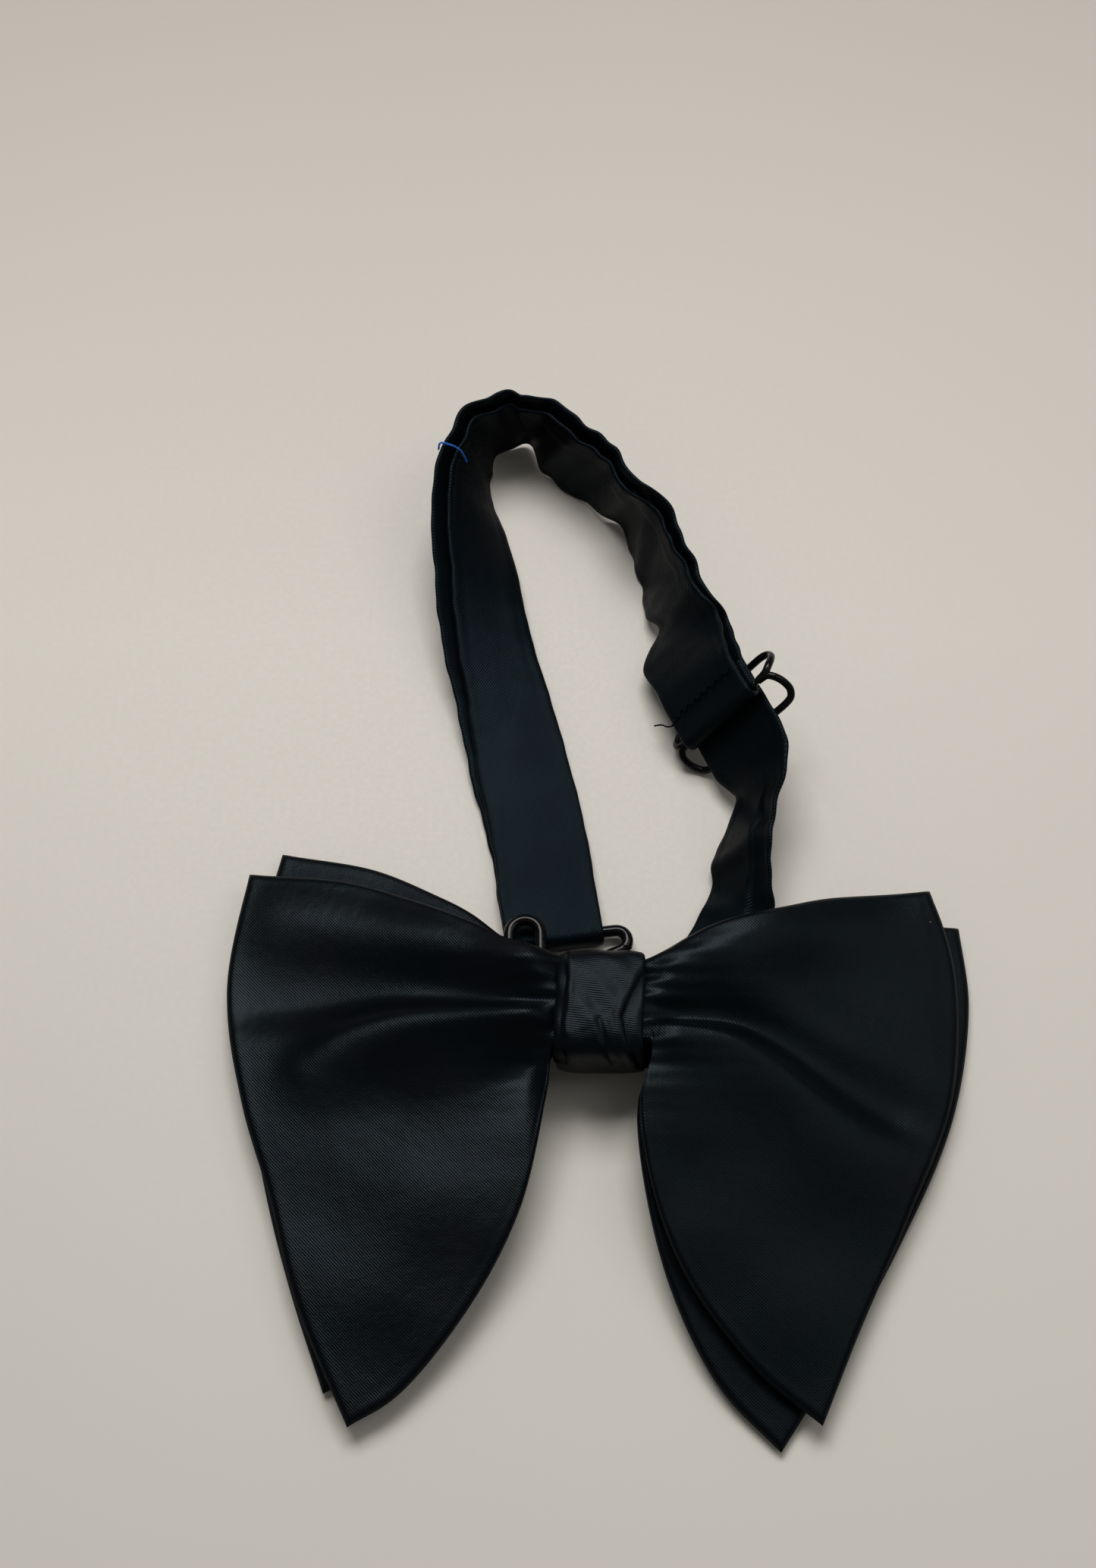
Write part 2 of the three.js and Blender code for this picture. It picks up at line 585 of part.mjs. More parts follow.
const KNOT_CORNER = 1.8;
const BINDING_HALF_WIDTH = 4;
function addKnot() {
  const wrap = band(KNOT_HALF_HEIGHT, KNOT_BACK_Z, KNOT_FRONT_Z, KNOT_WALL, KNOT_CORNER, KNOT_HALF_WIDTH);
  add('knot_wrap', wrap, SATIN, 0.45);
  const bindingBack = KNOT_STRAP_Z + STRAP_THICKNESS / 2 + GAP;
  const bindingFront = KNOT_FRONT_Z - KNOT_WALL - GAP;
  const bindingHalf = KNOT_HALF_HEIGHT - KNOT_WALL - GAP;
  const binding = band(bindingHalf, bindingBack, bindingFront, THREAD, 0.8, BINDING_HALF_WIDTH);
  add('gather_binding', binding, BLACK_THREAD, 0.8);
}
addKnot();

// ---- the threads ----
function zigzag(count, place) {
  const points = Array.from({ length: count + 1 }, (_, i) => place(i / count - 0.5, i % 2 - 0.5));
  return new THREE.CatmullRomCurve3(points, false, 'centripetal');
}

function addThreads() {
  const closingSeam = zigzag(8, (t, side) => new THREE.Vector3(
    5 + 1.4 * side,
    KNOT_Y + KNOT_HALF_HEIGHT + GAP + THREAD / 2,
    (KNOT_BACK_Z + KNOT_FRONT_Z) / 2 + 10 * t,
  ));
  add('knot_closing_stitch', wire(closingSeam, THREAD, 16), BLACK_THREAD, 0.8);

  const bar = strapFrame(SLIDER_AT - 5.2, 0, returnLift(SLIDER_AT - 5.2));
  const off = STRAP_THICKNESS / 2 + GAP + THREAD / 2;
  const sewnSeam = zigzag(12, (t, side) => inFrame(bar, 0.9 * side, 17 * t, off));
  add('sewn_end_stitch', wire(sewnSeam, THREAD, 24), BLACK_THREAD, 0.8);

  const tab = strapFrame(ROUTE_LENGTH - 1.4, 0, RING_Z - FOLD_RADIUS - KNOT_STRAP_Z);
  const tabSeam = zigzag(6, (t, side) => inFrame(tab, 0.8 * side, 6 * t - 1, -off));
  add('ring_tab_stitch', wire(tabSeam, THREAD, 12), BLACK_THREAD, 0.8);

  const tackAt = BEND_TO + 3;
  const top = strapFrame(tackAt, STRAP_WIDTH / 2 + outerShift(tackAt) + GAP + THREAD / 2, 0);
  const reach = LAYER_PITCH + STRAP_THICKNESS / 2 + 1.5 * GAP + THREAD / 2;
  const tack = new THREE.CatmullRomCurve3([
    inFrame(top, -0.4, -7, reach + 0.1),
    inFrame(top, 0.2, -LAYER_SHIFT, reach),
    inFrame(top, 0, -0.2, 1.5),
    inFrame(top, 0.3, 0.3, 0),
    inFrame(top, 0.2, -1.6, -STRAP_THICKNESS / 2 - 2 * GAP - THREAD / 2),
  ], false, 'centripetal');
  add('blue_thread_tack', wire(tack, THREAD, 18), BLUE_THREAD, 0.8);
}
addThreads();

// ---- the frame: the origin is the middle of the bottom of the tie's box ----
bowTie.updateMatrixWorld(true);
const box = new THREE.Box3().setFromObject(bowTie);
bowTie.position.set(-(box.min.x + box.max.x) / 2, -(box.min.y + box.max.y) / 2, -box.min.z);

export default bowTie;
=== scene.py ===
"""The looks of a pre-tied butterfly bow tie of black satin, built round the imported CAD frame.

Shapes are drawn in millimetres from the table's point under the middle of the knot, as in the CAD, and become
metres in the row frame when their mesh is made.
"""

import math
from collections import namedtuple

import bpy
import numpy as np
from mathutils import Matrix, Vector


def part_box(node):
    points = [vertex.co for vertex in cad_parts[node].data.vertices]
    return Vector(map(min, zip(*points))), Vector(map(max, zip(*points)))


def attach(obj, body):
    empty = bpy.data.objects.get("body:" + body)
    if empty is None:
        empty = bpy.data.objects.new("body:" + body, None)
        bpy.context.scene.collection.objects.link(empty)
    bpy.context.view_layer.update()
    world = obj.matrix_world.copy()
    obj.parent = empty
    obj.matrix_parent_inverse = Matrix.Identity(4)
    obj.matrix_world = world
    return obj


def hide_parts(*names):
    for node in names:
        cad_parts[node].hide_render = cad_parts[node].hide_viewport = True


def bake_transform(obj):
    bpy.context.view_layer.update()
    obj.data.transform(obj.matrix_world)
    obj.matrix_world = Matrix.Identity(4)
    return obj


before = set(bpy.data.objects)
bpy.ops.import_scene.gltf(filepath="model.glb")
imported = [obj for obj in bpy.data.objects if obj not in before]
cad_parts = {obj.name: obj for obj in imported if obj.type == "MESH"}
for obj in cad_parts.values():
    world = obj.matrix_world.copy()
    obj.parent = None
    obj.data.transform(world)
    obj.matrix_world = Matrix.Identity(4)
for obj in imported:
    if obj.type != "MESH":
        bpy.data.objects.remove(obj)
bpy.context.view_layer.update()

MM = 0.001
# Sizes in mm, the same ones as in the CAD.
GAP = 0.3
STRAP_WIDTH = 20.0
STRAP_THICKNESS = 1.0
LAYER_PITCH = 1.8
LAYER_SHIFT = 3.0
STRAP_BASE = 0.6
HOOK_WIRE = 2.4
SLIDER_WIRE = 1.6
THREAD = 0.5
BLADE_THICKNESS = 2.6
LINING_THICKNESS = 0.5
# A blade's root: the gathered end of its cloth, inside the knot.
ROOT_X = 1.2
ROOT_Y = -0.6
ROOT_HALF_HEIGHT = 8.4
ROOT_REAR_Z = 11.3
ROOT_STEP = 4.55
PLEAT = 0.6
KNOT_Y = -1.2
KNOT_HALF_WIDTH = 8.0
KNOT_HALF_HEIGHT = 11.2
KNOT_WALL = 1.0
KNOT_BACK_Z = 5.9
KNOT_FRONT_Z = 21.2
RING_X = -15.1
RING_Y = 6.3
RING_Z = 8.0
RING_WIDTH = 8.7
RING_LENGTH = 30.0

knot_low, knot_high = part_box("knot_wrap")
DRAWN_FROM = np.array([
    (knot_low[0] + knot_high[0]) / 2,
    (knot_low[1] + knot_high[1]) / 2 - KNOT_Y * MM,
    knot_low[2] - KNOT_BACK_Z * MM,
])


def in_row(point):
    """A drawn point in the row frame, as three plain numbers in metres."""
    return [float(c) for c in DRAWN_FROM + np.asarray(point, float) * MM]


def new_object(name, data):
    thing = bpy.data.objects.new(name, data)
    bpy.context.collection.objects.link(thing)
    return thing


# ---- camera and light ----
CAMERA_PLACE = (-10.49, -135.53, 389.51)
CAMERA_ELEVATION = 64
CAMERA_VIEW = 42
camera_data = bpy.data.cameras.new("camera")
camera = new_object("camera", camera_data)
camera.location = in_row(CAMERA_PLACE)
camera.rotation_euler = (math.radians(90 - CAMERA_ELEVATION), 0, 0)
camera_data.sensor_fit = "VERTICAL"
camera_data.sensor_height = 36
camera_data.sensor_width = 36
camera_data.angle_y = math.radians(CAMERA_VIEW)
camera_data.clip_start = 0.01
bpy.context.scene.camera = camera
bpy.context.scene.view_settings.view_transform = "Standard"


def area_light(name, place, size, watts, color):
    """A rectangular lamp that shines on the middle of the table."""
    data = bpy.data.lights.new(name, "AREA")
    data.shape = "RECTANGLE"
    data.size, data.size_y = size
    data.energy = watts
    data.color = color
    light = new_object(name, data)
    light.location = place
    light.rotation_euler = (-Vector(place)).to_track_quat("-Z", "Y").to_euler()


area_light("key_light", place=(-0.08, 0.5, 0.95), size=(0.7, 0.45), watts=10.5, color=(1.0, 0.985, 0.965))
area_light("side_light", place=(0.6, 0.1, 0.9), size=(0.6, 0.6), watts=1.6, color=(1.0, 0.98, 0.95))
world = bpy.data.worlds.new("studio")
world.use_nodes = True
background = world.node_tree.nodes["Background"].inputs
background["Color"].default_value = (1.0, 0.975, 0.94, 1)
background["Strength"].default_value = 0.17
bpy.context.scene.world = world


# ---- materials ----
class Nodes:
    """A material under construction: a Principled shader with nodes in front of it."""

    def __init__(self, name, roughness, **settings):
        self.material = bpy.data.materials.new(name)
        self.material.use_nodes = True
        self.tree = self.material.node_tree
        self.shader = self.tree.nodes["Principled BSDF"]
        self.shader.inputs["Roughness"].default_value = roughness
        for socket, value in settings.items():
            self.shader.inputs[socket.replace("_", " ")].default_value = value

    def add(self, kind, inputs=None, **properties):
        """A new node. Each input is a constant or the output of another node."""
        node = self.tree.nodes.new(kind)
        for key, value in properties.items():
            setattr(node, key, value)
        for socket, value in (inputs or {}).items():
            if isinstance(value, bpy.types.NodeSocket):
                self.tree.links.new(value, node.inputs[socket])
            else:
                node.inputs[socket].default_value = value
        return node

    def feed(self, socket, value):
        """Link a node's output to one of the shader's sockets."""
        self.tree.links.new(value, self.shader.inputs[socket])

    def math(self, operation, a, b=0.0, clamp=False):
        return self.add("ShaderNodeMath", {0: a, 1: b}, operation=operation, use_clamp=clamp).outputs[0]

    def fade(self, value, low, high, to_low=0, to_high=1):
        """Value from low to high, mapped evenly onto to_low to to_high."""
        node = self.add("ShaderNodeMapRange", {
            "Value": value, "From Min": low, "From Max": high, "To Min": to_low, "To Max": to_high,
        })
        return node.outputs["Result"]

    def noise(self, where, scale, detail=2.0, roughness=0.5, distortion=0.0):
        node = self.add("ShaderNodeTexNoise", {
            "Vector": where, "Scale": scale, "Detail": detail,
            "Roughness": roughness, "Distortion": distortion,
        })
        return node.outputs["Fac"]

    def blend(self, share, first, second):
        """A colour between first and second, which are RGB colours or outputs."""
        first, second = (c if isinstance(c, bpy.types.NodeSocket) else (*c, 1) for c in (first, second))
        return self.add("ShaderNodeMix", {0: share, 6: first, 7: second}, data_type="RGBA").outputs[2]

    def bump(self, height, distance, strength, under=None):
        """A normal with relief of the given height in metres, over the normal under it."""
        inputs = {"Height": height, "Distance": distance, "Strength": strength}
        if under is not None:
            inputs["Normal"] = under
        return self.add("ShaderNodeBump", inputs).outputs["Normal"]

    def place(self):
        return self.add("ShaderNodeTexCoord").outputs["Object"]

    def stored(self, attribute, output):
        """What the mesh stores at its vertices under an attribute's name."""
        node = self.add("ShaderNodeAttribute", attribute_name=attribute, attribute_type="GEOMETRY")
        return node.outputs[output]

    def weave(self):
        return self.stored("weave", "Vector")


def lint(m, place):
    """1 on a few fine specks of lint, 0 elsewhere."""
    smallest_chance, speck_radius = 0.9, 0.022
    cells = m.add("ShaderNodeTexVoronoi", {"Vector": place, "Scale": 120.0, "Randomness": 1.0}).outputs
    chance = m.add("ShaderNodeSeparateColor", {"Color": cells["Color"]}).outputs["Red"]
    return m.math("MULTIPLY", m.math("LESS_THAN", cells["Distance"], speck_radius),
                  m.math("GREATER_THAN", chance, smallest_chance))


def satin(name, gloss, relief, tint):
    """Black satin with a fine diagonal grain: its least roughness, the grain's strength and the colour of its
    shine. Pressed edges, which the mesh stores, are duller."""
    m = Nodes(name, gloss, IOR=1.2, Specular_Tint=(*tint, 1), Anisotropic=0.3,
              Sheen_Weight=0.004, Sheen_Roughness=0.35, Sheen_Tint=(0.72, 0.85, 1.0, 1))
    navy, plum, green = (0.0006, 0.0016, 0.0026), (0.0016, 0.0012, 0.0027), (0.0009, 0.0025, 0.0031)
    groove, fluff = (0.0003, 0.0006, 0.0011), (0.22, 0.22, 0.21)
    weave, place = m.weave(), m.place()
    twill = m.add("ShaderNodeTexWave", {
        "Vector": weave, "Scale": 0.99, "Distortion": 0.9, "Detail": 1.0, "Detail Scale": 2.0,
    }, bands_direction="DIAGONAL").outputs["Fac"]
    floats = m.noise(weave, scale=2.6, detail=2.0, roughness=0.6)
    mottle = m.noise(place, scale=75.0, detail=3.0, roughness=0.6, distortion=0.4)
    broad = m.noise(place, scale=28.0)
    cloth = m.blend(m.fade(mottle, 0.36, 0.64), navy, plum)
    cloth = m.blend(m.fade(broad, 0.4, 0.62, to_high=0.55), cloth, green)
    cloth = m.blend(m.fade(twill, 0, 1, to_high=0.35), cloth, groove)
    m.feed("Base Color", m.blend(m.math("MULTIPLY", lint(m, place), 0.7), cloth, fluff))
    rough = m.math("ADD", m.fade(mottle, 0.3, 0.7, gloss, gloss + 0.07), m.math("MULTIPLY", floats, 0.06))
    dull = m.math("MULTIPLY", m.stored("edge", "Fac"), 0.55)
    m.feed("Roughness", m.math("ADD", rough, dull, clamp=True))
    crinkle = m.bump(m.noise(place, scale=320.0, detail=3.0, roughness=0.55), distance=0.00025, strength=0.35)
    grain = m.math("ADD", twill, m.math("MULTIPLY", floats, 0.8))
    m.feed("Normal", m.bump(grain, distance=0.00005, strength=relief, under=crinkle))
    return m.material


def spun_thread(name, dark, light):
    m = Nodes(name, 0.8, Specular_IOR_Level=0.05)
    fibres = m.noise(m.place(), scale=2600.0, detail=3.0, roughness=0.7)
    m.feed("Base Color", m.blend(m.fade(fibres, 0.3, 0.7), dark, light))
    m.feed("Roughness", m.fade(fibres, 0.2, 0.8, 0.6, 0.85))
    m.feed("Normal", m.bump(fibres, distance=0.00008, strength=0.6))
    return m.material


def coated_wire():
    m = Nodes("coated_wire", 0.08, IOR=1.24)
    place = m.place()
    worn = m.noise(place, scale=420.0, detail=3.0, roughness=0.6)
    peel = m.noise(place, scale=900.0)
    m.feed("Base Color", m.blend(m.fade(worn, 0.45, 0.7), (0.002, 0.002, 0.0025), (0.004, 0.004, 0.005)))
    m.feed("Roughness", m.fade(worn, 0.35, 0.75, 0.06, 0.12))
    m.feed("Normal", m.bump(peel, distance=0.00006, strength=0.3))
    return m.material


def canvas():
    m = Nodes("stiff_interlining", 0.9, Sheen_Weight=0.1)
    yarns = {"Vector": m.weave(), "Scale": 0.6, "Distortion": 0.6}
    across, along = (
        m.add("ShaderNodeTexWave", yarns, bands_direction=axis).outputs["Fac"] for axis in ("X", "Y")
    )
    grid = m.math("MULTIPLY", across, along)
    m.feed("Base Color", m.blend(grid, (0.03, 0.03, 0.033), (0.075, 0.074, 0.076)))
    m.feed("Roughness", m.fade(grid, 0, 1, 0.85, 0.95))
    m.feed("Normal", m.bump(grid, distance=0.0001, strength=0.6))
    return m.material


def table_top():
    """A pale matt table with painted shade: darker toward its far side, standing in for light that falls off
    there.
    """
    m = Nodes("pale_table", 0.55, Specular_IOR_Level=0.35)
    place = m.place()
    broad = m.noise(place, scale=3.0)
    fine = m.noise(place, scale=900.0)
    pale = m.blend(m.fade(broad, 0.35, 0.65), (0.545, 0.52, 0.475), (0.575, 0.55, 0.50))
    far = m.add("ShaderNodeSeparateXYZ", {"Vector": place}).outputs["Y"]
    # Painted shade: the colour darkens toward the table's far side, where less light falls.
    m.feed("Base Color", m.blend(m.fade(far, 0.06, 0.36), pale, (0.355, 0.325, 0.295)))
    m.feed("Roughness", m.fade(fine, 0.3, 0.7, 0.5, 0.6))
    m.feed("Normal", m.bump(fine, distance=0.00005, strength=0.15))
    return m.material


SATIN = satin("black_satin", gloss=0.29, relief=0.5, tint=(0.7, 0.88, 1.0))
STRAP_SATIN = satin("black_strap_satin", gloss=0.38, relief=1.0, tint=(0.5, 0.8, 1.0))
WIRE = coated_wire()
BLACK_THREAD = spun_thread("black_thread", dark=(0.0006, 0.0008, 0.0012), light=(0.002, 0.0023, 0.003))
BLUE_THREAD = spun_thread("blue_thread", dark=(0.012, 0.05, 0.3), light=(0.05, 0.2, 0.75))
CANVAS = canvas()
TABLE = table_top()


# ---- meshes ----
def make_object(name, vertices, faces, material, weave=None, crease=50, edge=None):
    """A mesh object from drawn points, shaded smooth up to a crease in degrees. weave is each vertex's place
    in the flat cloth, in mm, and edge how near the pressed edge it is, from 0 to 1."""
    mesh = bpy.data.meshes.new(name)
    mesh.from_pydata((DRAWN_FROM + np.asarray(vertices, float) * MM).tolist(), [], faces)
    mesh.polygons.foreach_set("use_smooth", [True] * len(mesh.polygons))
    mesh.set_sharp_from_angle(angle=math.radians(crease))
    if weave is not None:
        attribute = mesh.attributes.new("weave", "FLOAT_VECTOR", "POINT")
        flat = np.zeros((len(vertices), 3), np.float32)
        flat[:, :2] = weave
        attribute.data.foreach_set("vector", flat.ravel())
    if edge is not None:
        attribute = mesh.attributes.new("edge", "FLOAT", "POINT")
        attribute.data.foreach_set("value", np.asarray(edge, np.float32))
    mesh.materials.append(material)
    mesh.validate()
    return new_object(name, mesh)


def stands_for(piece, slot, body, *nodes):
    """What the piece is made of, which is not used, the body it moves with and the CAD nodes it replaces."""
    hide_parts(*nodes)
    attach(piece, body)


def loft(rings, closed=False):
    """Vertices and faces through closed rings of points, an array of rings x points x 3, with capped ends."""
    count, around = rings.shape[:2]
    index = np.arange(count * around).reshape(count, around)
    ahead = np.roll(index, -1, axis=0) if closed else index[1:]
    here = index if closed else index[:-1]
    quads = np.stack([here, np.roll(here, -1, axis=1), np.roll(ahead, -1, axis=1), ahead], axis=-1)
    faces = quads.reshape(-1, 4).tolist()
    if not closed:
        faces += [index[0][::-1].tolist(), index[-1].tolist()]
    return rings.reshape(-1, 3), faces


def smooth(x):
    """0 below 0, 1 above 1 and an even S between them."""
    t = np.clip(x, 0, 1)
    return t * t * (3 - 2 * t)


def bell(x, width):
    """1 at 0, falling to nothing within about two widths on either side."""
    return np.exp(-((x / width) ** 2))


def between(start, end, share):
    """The value at a share of the way from start to end."""
    return start + (end - start) * share


def unit(v):
    return v / np.linalg.norm(v, axis=-1, keepdims=True)


def reach_along(points):
    """Distance from the first point to each one, along the line through them."""
    return np.concatenate([[0], np.cumsum(np.linalg.norm(np.diff(points, axis=0), axis=1))])


class Curve:
    """A centripetal Catmull-Rom curve through points, as in the CAD, read by the share of its length."""

    def __init__(self, points, closed=False, dense=40):
        given = np.asarray(points, float)
        if closed:
            ring = np.vstack([given[-1], given, given[0], given[1]])
        else:
            ring = np.vstack([2 * given[0] - given[1], given, 2 * given[-1] - given[-2]])
        t = np.linspace(0, 1, dense, endpoint=False)[:, None]
        runs = [self.run(ring[i:i + 4], t) for i in range(len(ring) - 3)]
        self.points = np.vstack(runs + [ring[-2][None]])
        self.reach = reach_along(self.points)
        self.length = self.reach[-1]

    @staticmethod
    def run(four, t):
        """Points between the second and the third of four given points."""
        p0, p1, p2, p3 = four
        d0, d1, d2 = (max(np.linalg.norm(b - a) ** 0.5, 1e-4) for a, b in ((p0, p1), (p1, p2), (p2, p3)))
        out = ((p1 - p0) / d0 - (p2 - p0) / (d0 + d1) + (p2 - p1) / d1) * d1
        into = ((p2 - p1) / d1 - (p3 - p1) / (d1 + d2) + (p3 - p2) / d2) * d1
        square = 3 * (p2 - p1) - 2 * out - into
        cube = 2 * (p1 - p2) + out + into
        return p1 + out * t + square * t ** 2 + cube * t ** 3

    def at(self, share):
        s = np.clip(np.atleast_1d(share), 0, 1) * self.length
        return np.stack([np.interp(s, self.reach, c) for c in self.points.T], axis=-1)

    def heading(self, share):
        """Unit direction, taken over a short piece of the curve."""
        step = 0.15 / self.length
        share = np.atleast_1d(share)
        return unit(self.at(np.minimum(share + step, 1)) - self.at(np.maximum(share - step, 0)))


# A direction that no wire or thread runs along.
ASKEW = np.array([0.137, 0.211, 0.967])


def sideways(along, up):
    """Unit vectors across a line: square to up where it is given, else turning as little as can be."""
    across = np.zeros_like(along)
    previous = np.cross(along[0], ASKEW)
    for i, direction in enumerate(along):
        if up is not None:
            previous = np.cross(direction, up)
        previous = previous - direction * np.dot(previous, direction)
        previous /= np.linalg.norm(previous)
        across[i] = previous
    return across


def tube_rings(points, diameter, sides, closed=False, up=None):
    """Rings of points round a wire. Open ends are rounded off."""
    points = np.asarray(points, float)
    ahead = np.roll(points, -1, axis=0) - np.roll(points, 1, axis=0)
    if not closed:
        ahead[0] = points[1] - points[0]
        ahead[-1] = points[-1] - points[-2]
    along = unit(ahead)
    side = sideways(along, up)
    rise = np.cross(side, along)
    radius = np.full(len(points), diameter / 2)
    if not closed:
        turns = np.radians([12, 32, 52, 72, 86])
        reach = diameter / 2 * np.sin(turns)
        thin = diameter / 2 * np.cos(turns)
        first = points[0] - along[0] * reach[::-1, None]
        last = points[-1] + along[-1] * reach[:, None]
        points = np.vstack([first, points, last])
        ends = ((len(turns), len(turns)), (0, 0))
        side, rise = np.pad(side, ends, mode="edge"), np.pad(rise, ends, mode="edge")
        radius = np.concatenate([thin[::-1], radius, thin])
    angle = 2 * np.pi * np.arange(sides) / sides
    spread = side[:, None] * np.cos(angle)[None, :, None] + rise[:, None] * np.sin(angle)[None, :, None]
    return points[:, None] + spread * radius[:, None, None]


def joined(parts):
    """Several (vertices, faces) pairs as one."""
    vertices, faces, start = [], [], 0
    for points, part_faces in parts:
        vertices.append(points)
        faces += [[i + start for i in face] for face in part_faces]
        start += len(points)
    return np.vstack(vertices), faces


# A thread's turn and the step between its rings, then a strand's place and thickness as shares of it.
TWIST = 1.3
THREAD_STEP = 0.16
STRAND_OFF = 0.24
STRAND = 0.56


def twisted_thread(points, diameter):
    """A two-ply thread along points: two strands wound round one another."""
    line = Curve(points, dense=12)
    share = np.linspace(0, 1, max(12, int(line.length / THREAD_STEP)))
    centre, along = line.at(share), line.heading(share)
    side = unit(np.cross(along, ASKEW))
    rise = np.cross(side, along)
    phase = 2 * np.pi * share * line.length / TWIST
    parts = []
    for start in (0, np.pi):
        off = side * np.cos(phase + start)[:, None] + rise * np.sin(phase + start)[:, None]
        parts.append(loft(tube_rings(centre + off * diameter * STRAND_OFF, diameter * STRAND, sides=6)))
    return parts


# ---- the strap ----
# Its route from the hook to the ring: x, y and how far it leans, from 0 degrees flat to 90 on its edge.
BEND_START = (-24.2, 99)
HOOK_END = [
    (-9, 16.6, 0), (-12.6, 41.5, 0), (-16.7, 63, 5), (-20.9, 84, 18), (*BEND_START, 32),
    (-27.4, 114, 50), (-28.8, 125, 68), (-27, 134, 82), (-22.3, 139.6, 94), (-16.2, 140.8, 101),
    (-10, 136.6, 90), (-4.8, 131.2, 80), (1, 126.4, 86), (6, 121, 91), (11.2, 113.4, 84),
    (15, 102.5, 73), (18.2, 92, 63), (20.4, 83, 44),
]
# The strap is straight for STRAIGHT mm on both sides of the slider.
SLIDER_MIDDLE = np.array([27.2, 65])
SLIDER_HEADING = unit(np.array([0.42, -0.91]))
SLIDER_LEAN = 46
STRAIGHT = 10.0
BOW_END = [
    (32.5, 49.5, 56), (31.4, 42.5, 58), (29.6, 34, 52), (28.2, 27, 38), (26.6, 20.3, 23),
    (23.5, 12.5, 6), (17.5, 3.4, 0), (9.5, KNOT_Y, 0), (4, KNOT_Y, 0), (-4, KNOT_Y, 0),
    (RING_X + 3.15, KNOT_Y, 0),
]
# The lean is the curve's third coordinate, scaled down so that it adds almost no length.
LEAN_SCALE = 0.02
SLIDER_RUN = [
    (*(SLIDER_MIDDLE + SLIDER_HEADING * STRAIGHT * share), SLIDER_LEAN) for share in (-1, -0.5, 0, 0.5, 1)
]
ROUTE = Curve([(x, y, lean * LEAN_SCALE) for x, y, lean in HOOK_END + SLIDER_RUN + BOW_END])


def distance_to(x, y):
    """Distance along the route of its point nearest to x, y."""
    gap = np.hypot(ROUTE.points[:, 0] - x, ROUTE.points[:, 1] - y)
    return float(ROUTE.reach[np.argmin(gap)])


# Places along the route in mm from its start, and the sewn end's length.
HOOK_BAR_AT = 1.6
BEND_FROM = distance_to(*BEND_START)
BEND_TO = BEND_FROM + 26
SLIDER_AT = distance_to(*SLIDER_MIDDLE)
SEWN_END = 11.0
STRETCH_FROM = SLIDER_AT - 46
STRETCH_TO = SLIDER_AT - SEWN_END
LAYER_END = SLIDER_AT - STRAIGHT - 8
KNOT_AT = distance_to(KNOT_HALF_WIDTH + 1.5, KNOT_Y)
# Heights, the ramps up to them, and the folds' radii: round the hook or ring, and round the slider's bar.
SLIDER_RISE = 3.3
SLIDER_RAMP = 22
KNOT_RAMP = 26
KNOT_STRAP_Z = KNOT_BACK_Z + KNOT_WALL + GAP + STRAP_THICKNESS / 2
FOLD_RADIUS = (HOOK_WIRE + STRAP_THICKNESS) / 2 + GAP
BAR_LIFT = STRAP_THICKNESS / 2 + GAP + STRAP_THICKNESS + GAP + SLIDER_WIRE / 2
SEWN_RADIUS = (SLIDER_WIRE + STRAP_THICKNESS) / 2 + GAP
# The tab that holds the ring, and widths beside the slider and in the knot.
TAB_RISE = 3.6
TAB_WIDTH = 14.0
TAB_SHIFT = -4.4
RUN_WIDTH = 16.0
KNOT_STRAP_WIDTH = 19.0
# Steps between rows.
STRAP_PITCH = 0.7
TAB_PITCH = 0.4


def base_height(s):
    """Height of the strap's lower edge over the table."""
    near_slider = smooth(1 - (np.abs(s - SLIDER_AT) - STRAIGHT) / SLIDER_RAMP)
    near_knot = smooth(1 - (KNOT_AT - s) / KNOT_RAMP)
    return STRAP_BASE + SLIDER_RISE * near_slider + (KNOT_STRAP_Z - STRAP_BASE) * near_knot


class Rows(namedtuple("Rows", "s centre along across normal up width")):
    """Cross rows of a strap, s mm along the route. normal belongs to their own face, up to the route's."""

    def turned(self):
        """The same rows for a strip that runs back along the route."""
        return self._replace(along=-self.along, normal=-self.normal)

    def then(self, *others):
        return Rows(*(np.concatenate(parts) for parts in zip(self, *others)))

    def point(self, along, across, off):
        """A point in the frame of the first row."""
        return self.centre[0] + self.along[0] * along + self.across[0] * across + self.normal[0] * off


def strap(s, shift=0.0, lift=0.0, width=STRAP_WIDTH):
    """Rows at s mm along the route, moved across the strap by shift and off its face by lift."""
    s = np.atleast_1d(np.asarray(s, float))
    x, y, scaled_lean = ROUTE.at(s / ROUTE.length).T
    lean = np.radians(scaled_lean / LEAN_SCALE)[:, None]
    along = unit(ROUTE.heading(s / ROUTE.length) * (1, 1, 0))
    outward = np.stack([-along[:, 1], along[:, 0], np.zeros(len(s))], axis=-1)
    across = outward * np.cos(lean) + np.array([0, 0, 1]) * np.sin(lean)
    normal = np.cross(along, across)
    centre = np.stack([x, y, base_height(s) + np.sin(lean[:, 0]) * STRAP_WIDTH / 2], axis=-1)
    centre = centre + across * np.reshape(shift, (-1, 1)) + normal * np.reshape(lift, (-1, 1))
    return Rows(s, centre, along, across, normal, normal, np.broadcast_to(width, s.shape).astype(float))


def outer_shift(s):
    """How far the outer layer stands out past the return layer."""
    return LAYER_SHIFT * smooth(s / 90) * smooth((LAYER_END - s) / 40)


def return_lift(s):
    """Height of the return layer over the outer one, larger at the hook and at the slider."""
    at_hook = 2 * FOLD_RADIUS - LAYER_PITCH
    at_slider = BAR_LIFT + SEWN_RADIUS - LAYER_PITCH
    return (LAYER_PITCH + at_hook * smooth(1 - (s - HOOK_BAR_AT) / 26)
            + at_slider * smooth(1 - (SLIDER_AT - 9 - s) / 22))


def outer_layer(s):
    return strap(s, outer_shift(s))


def return_layer(s):
    return strap(s, 0, return_lift(s))


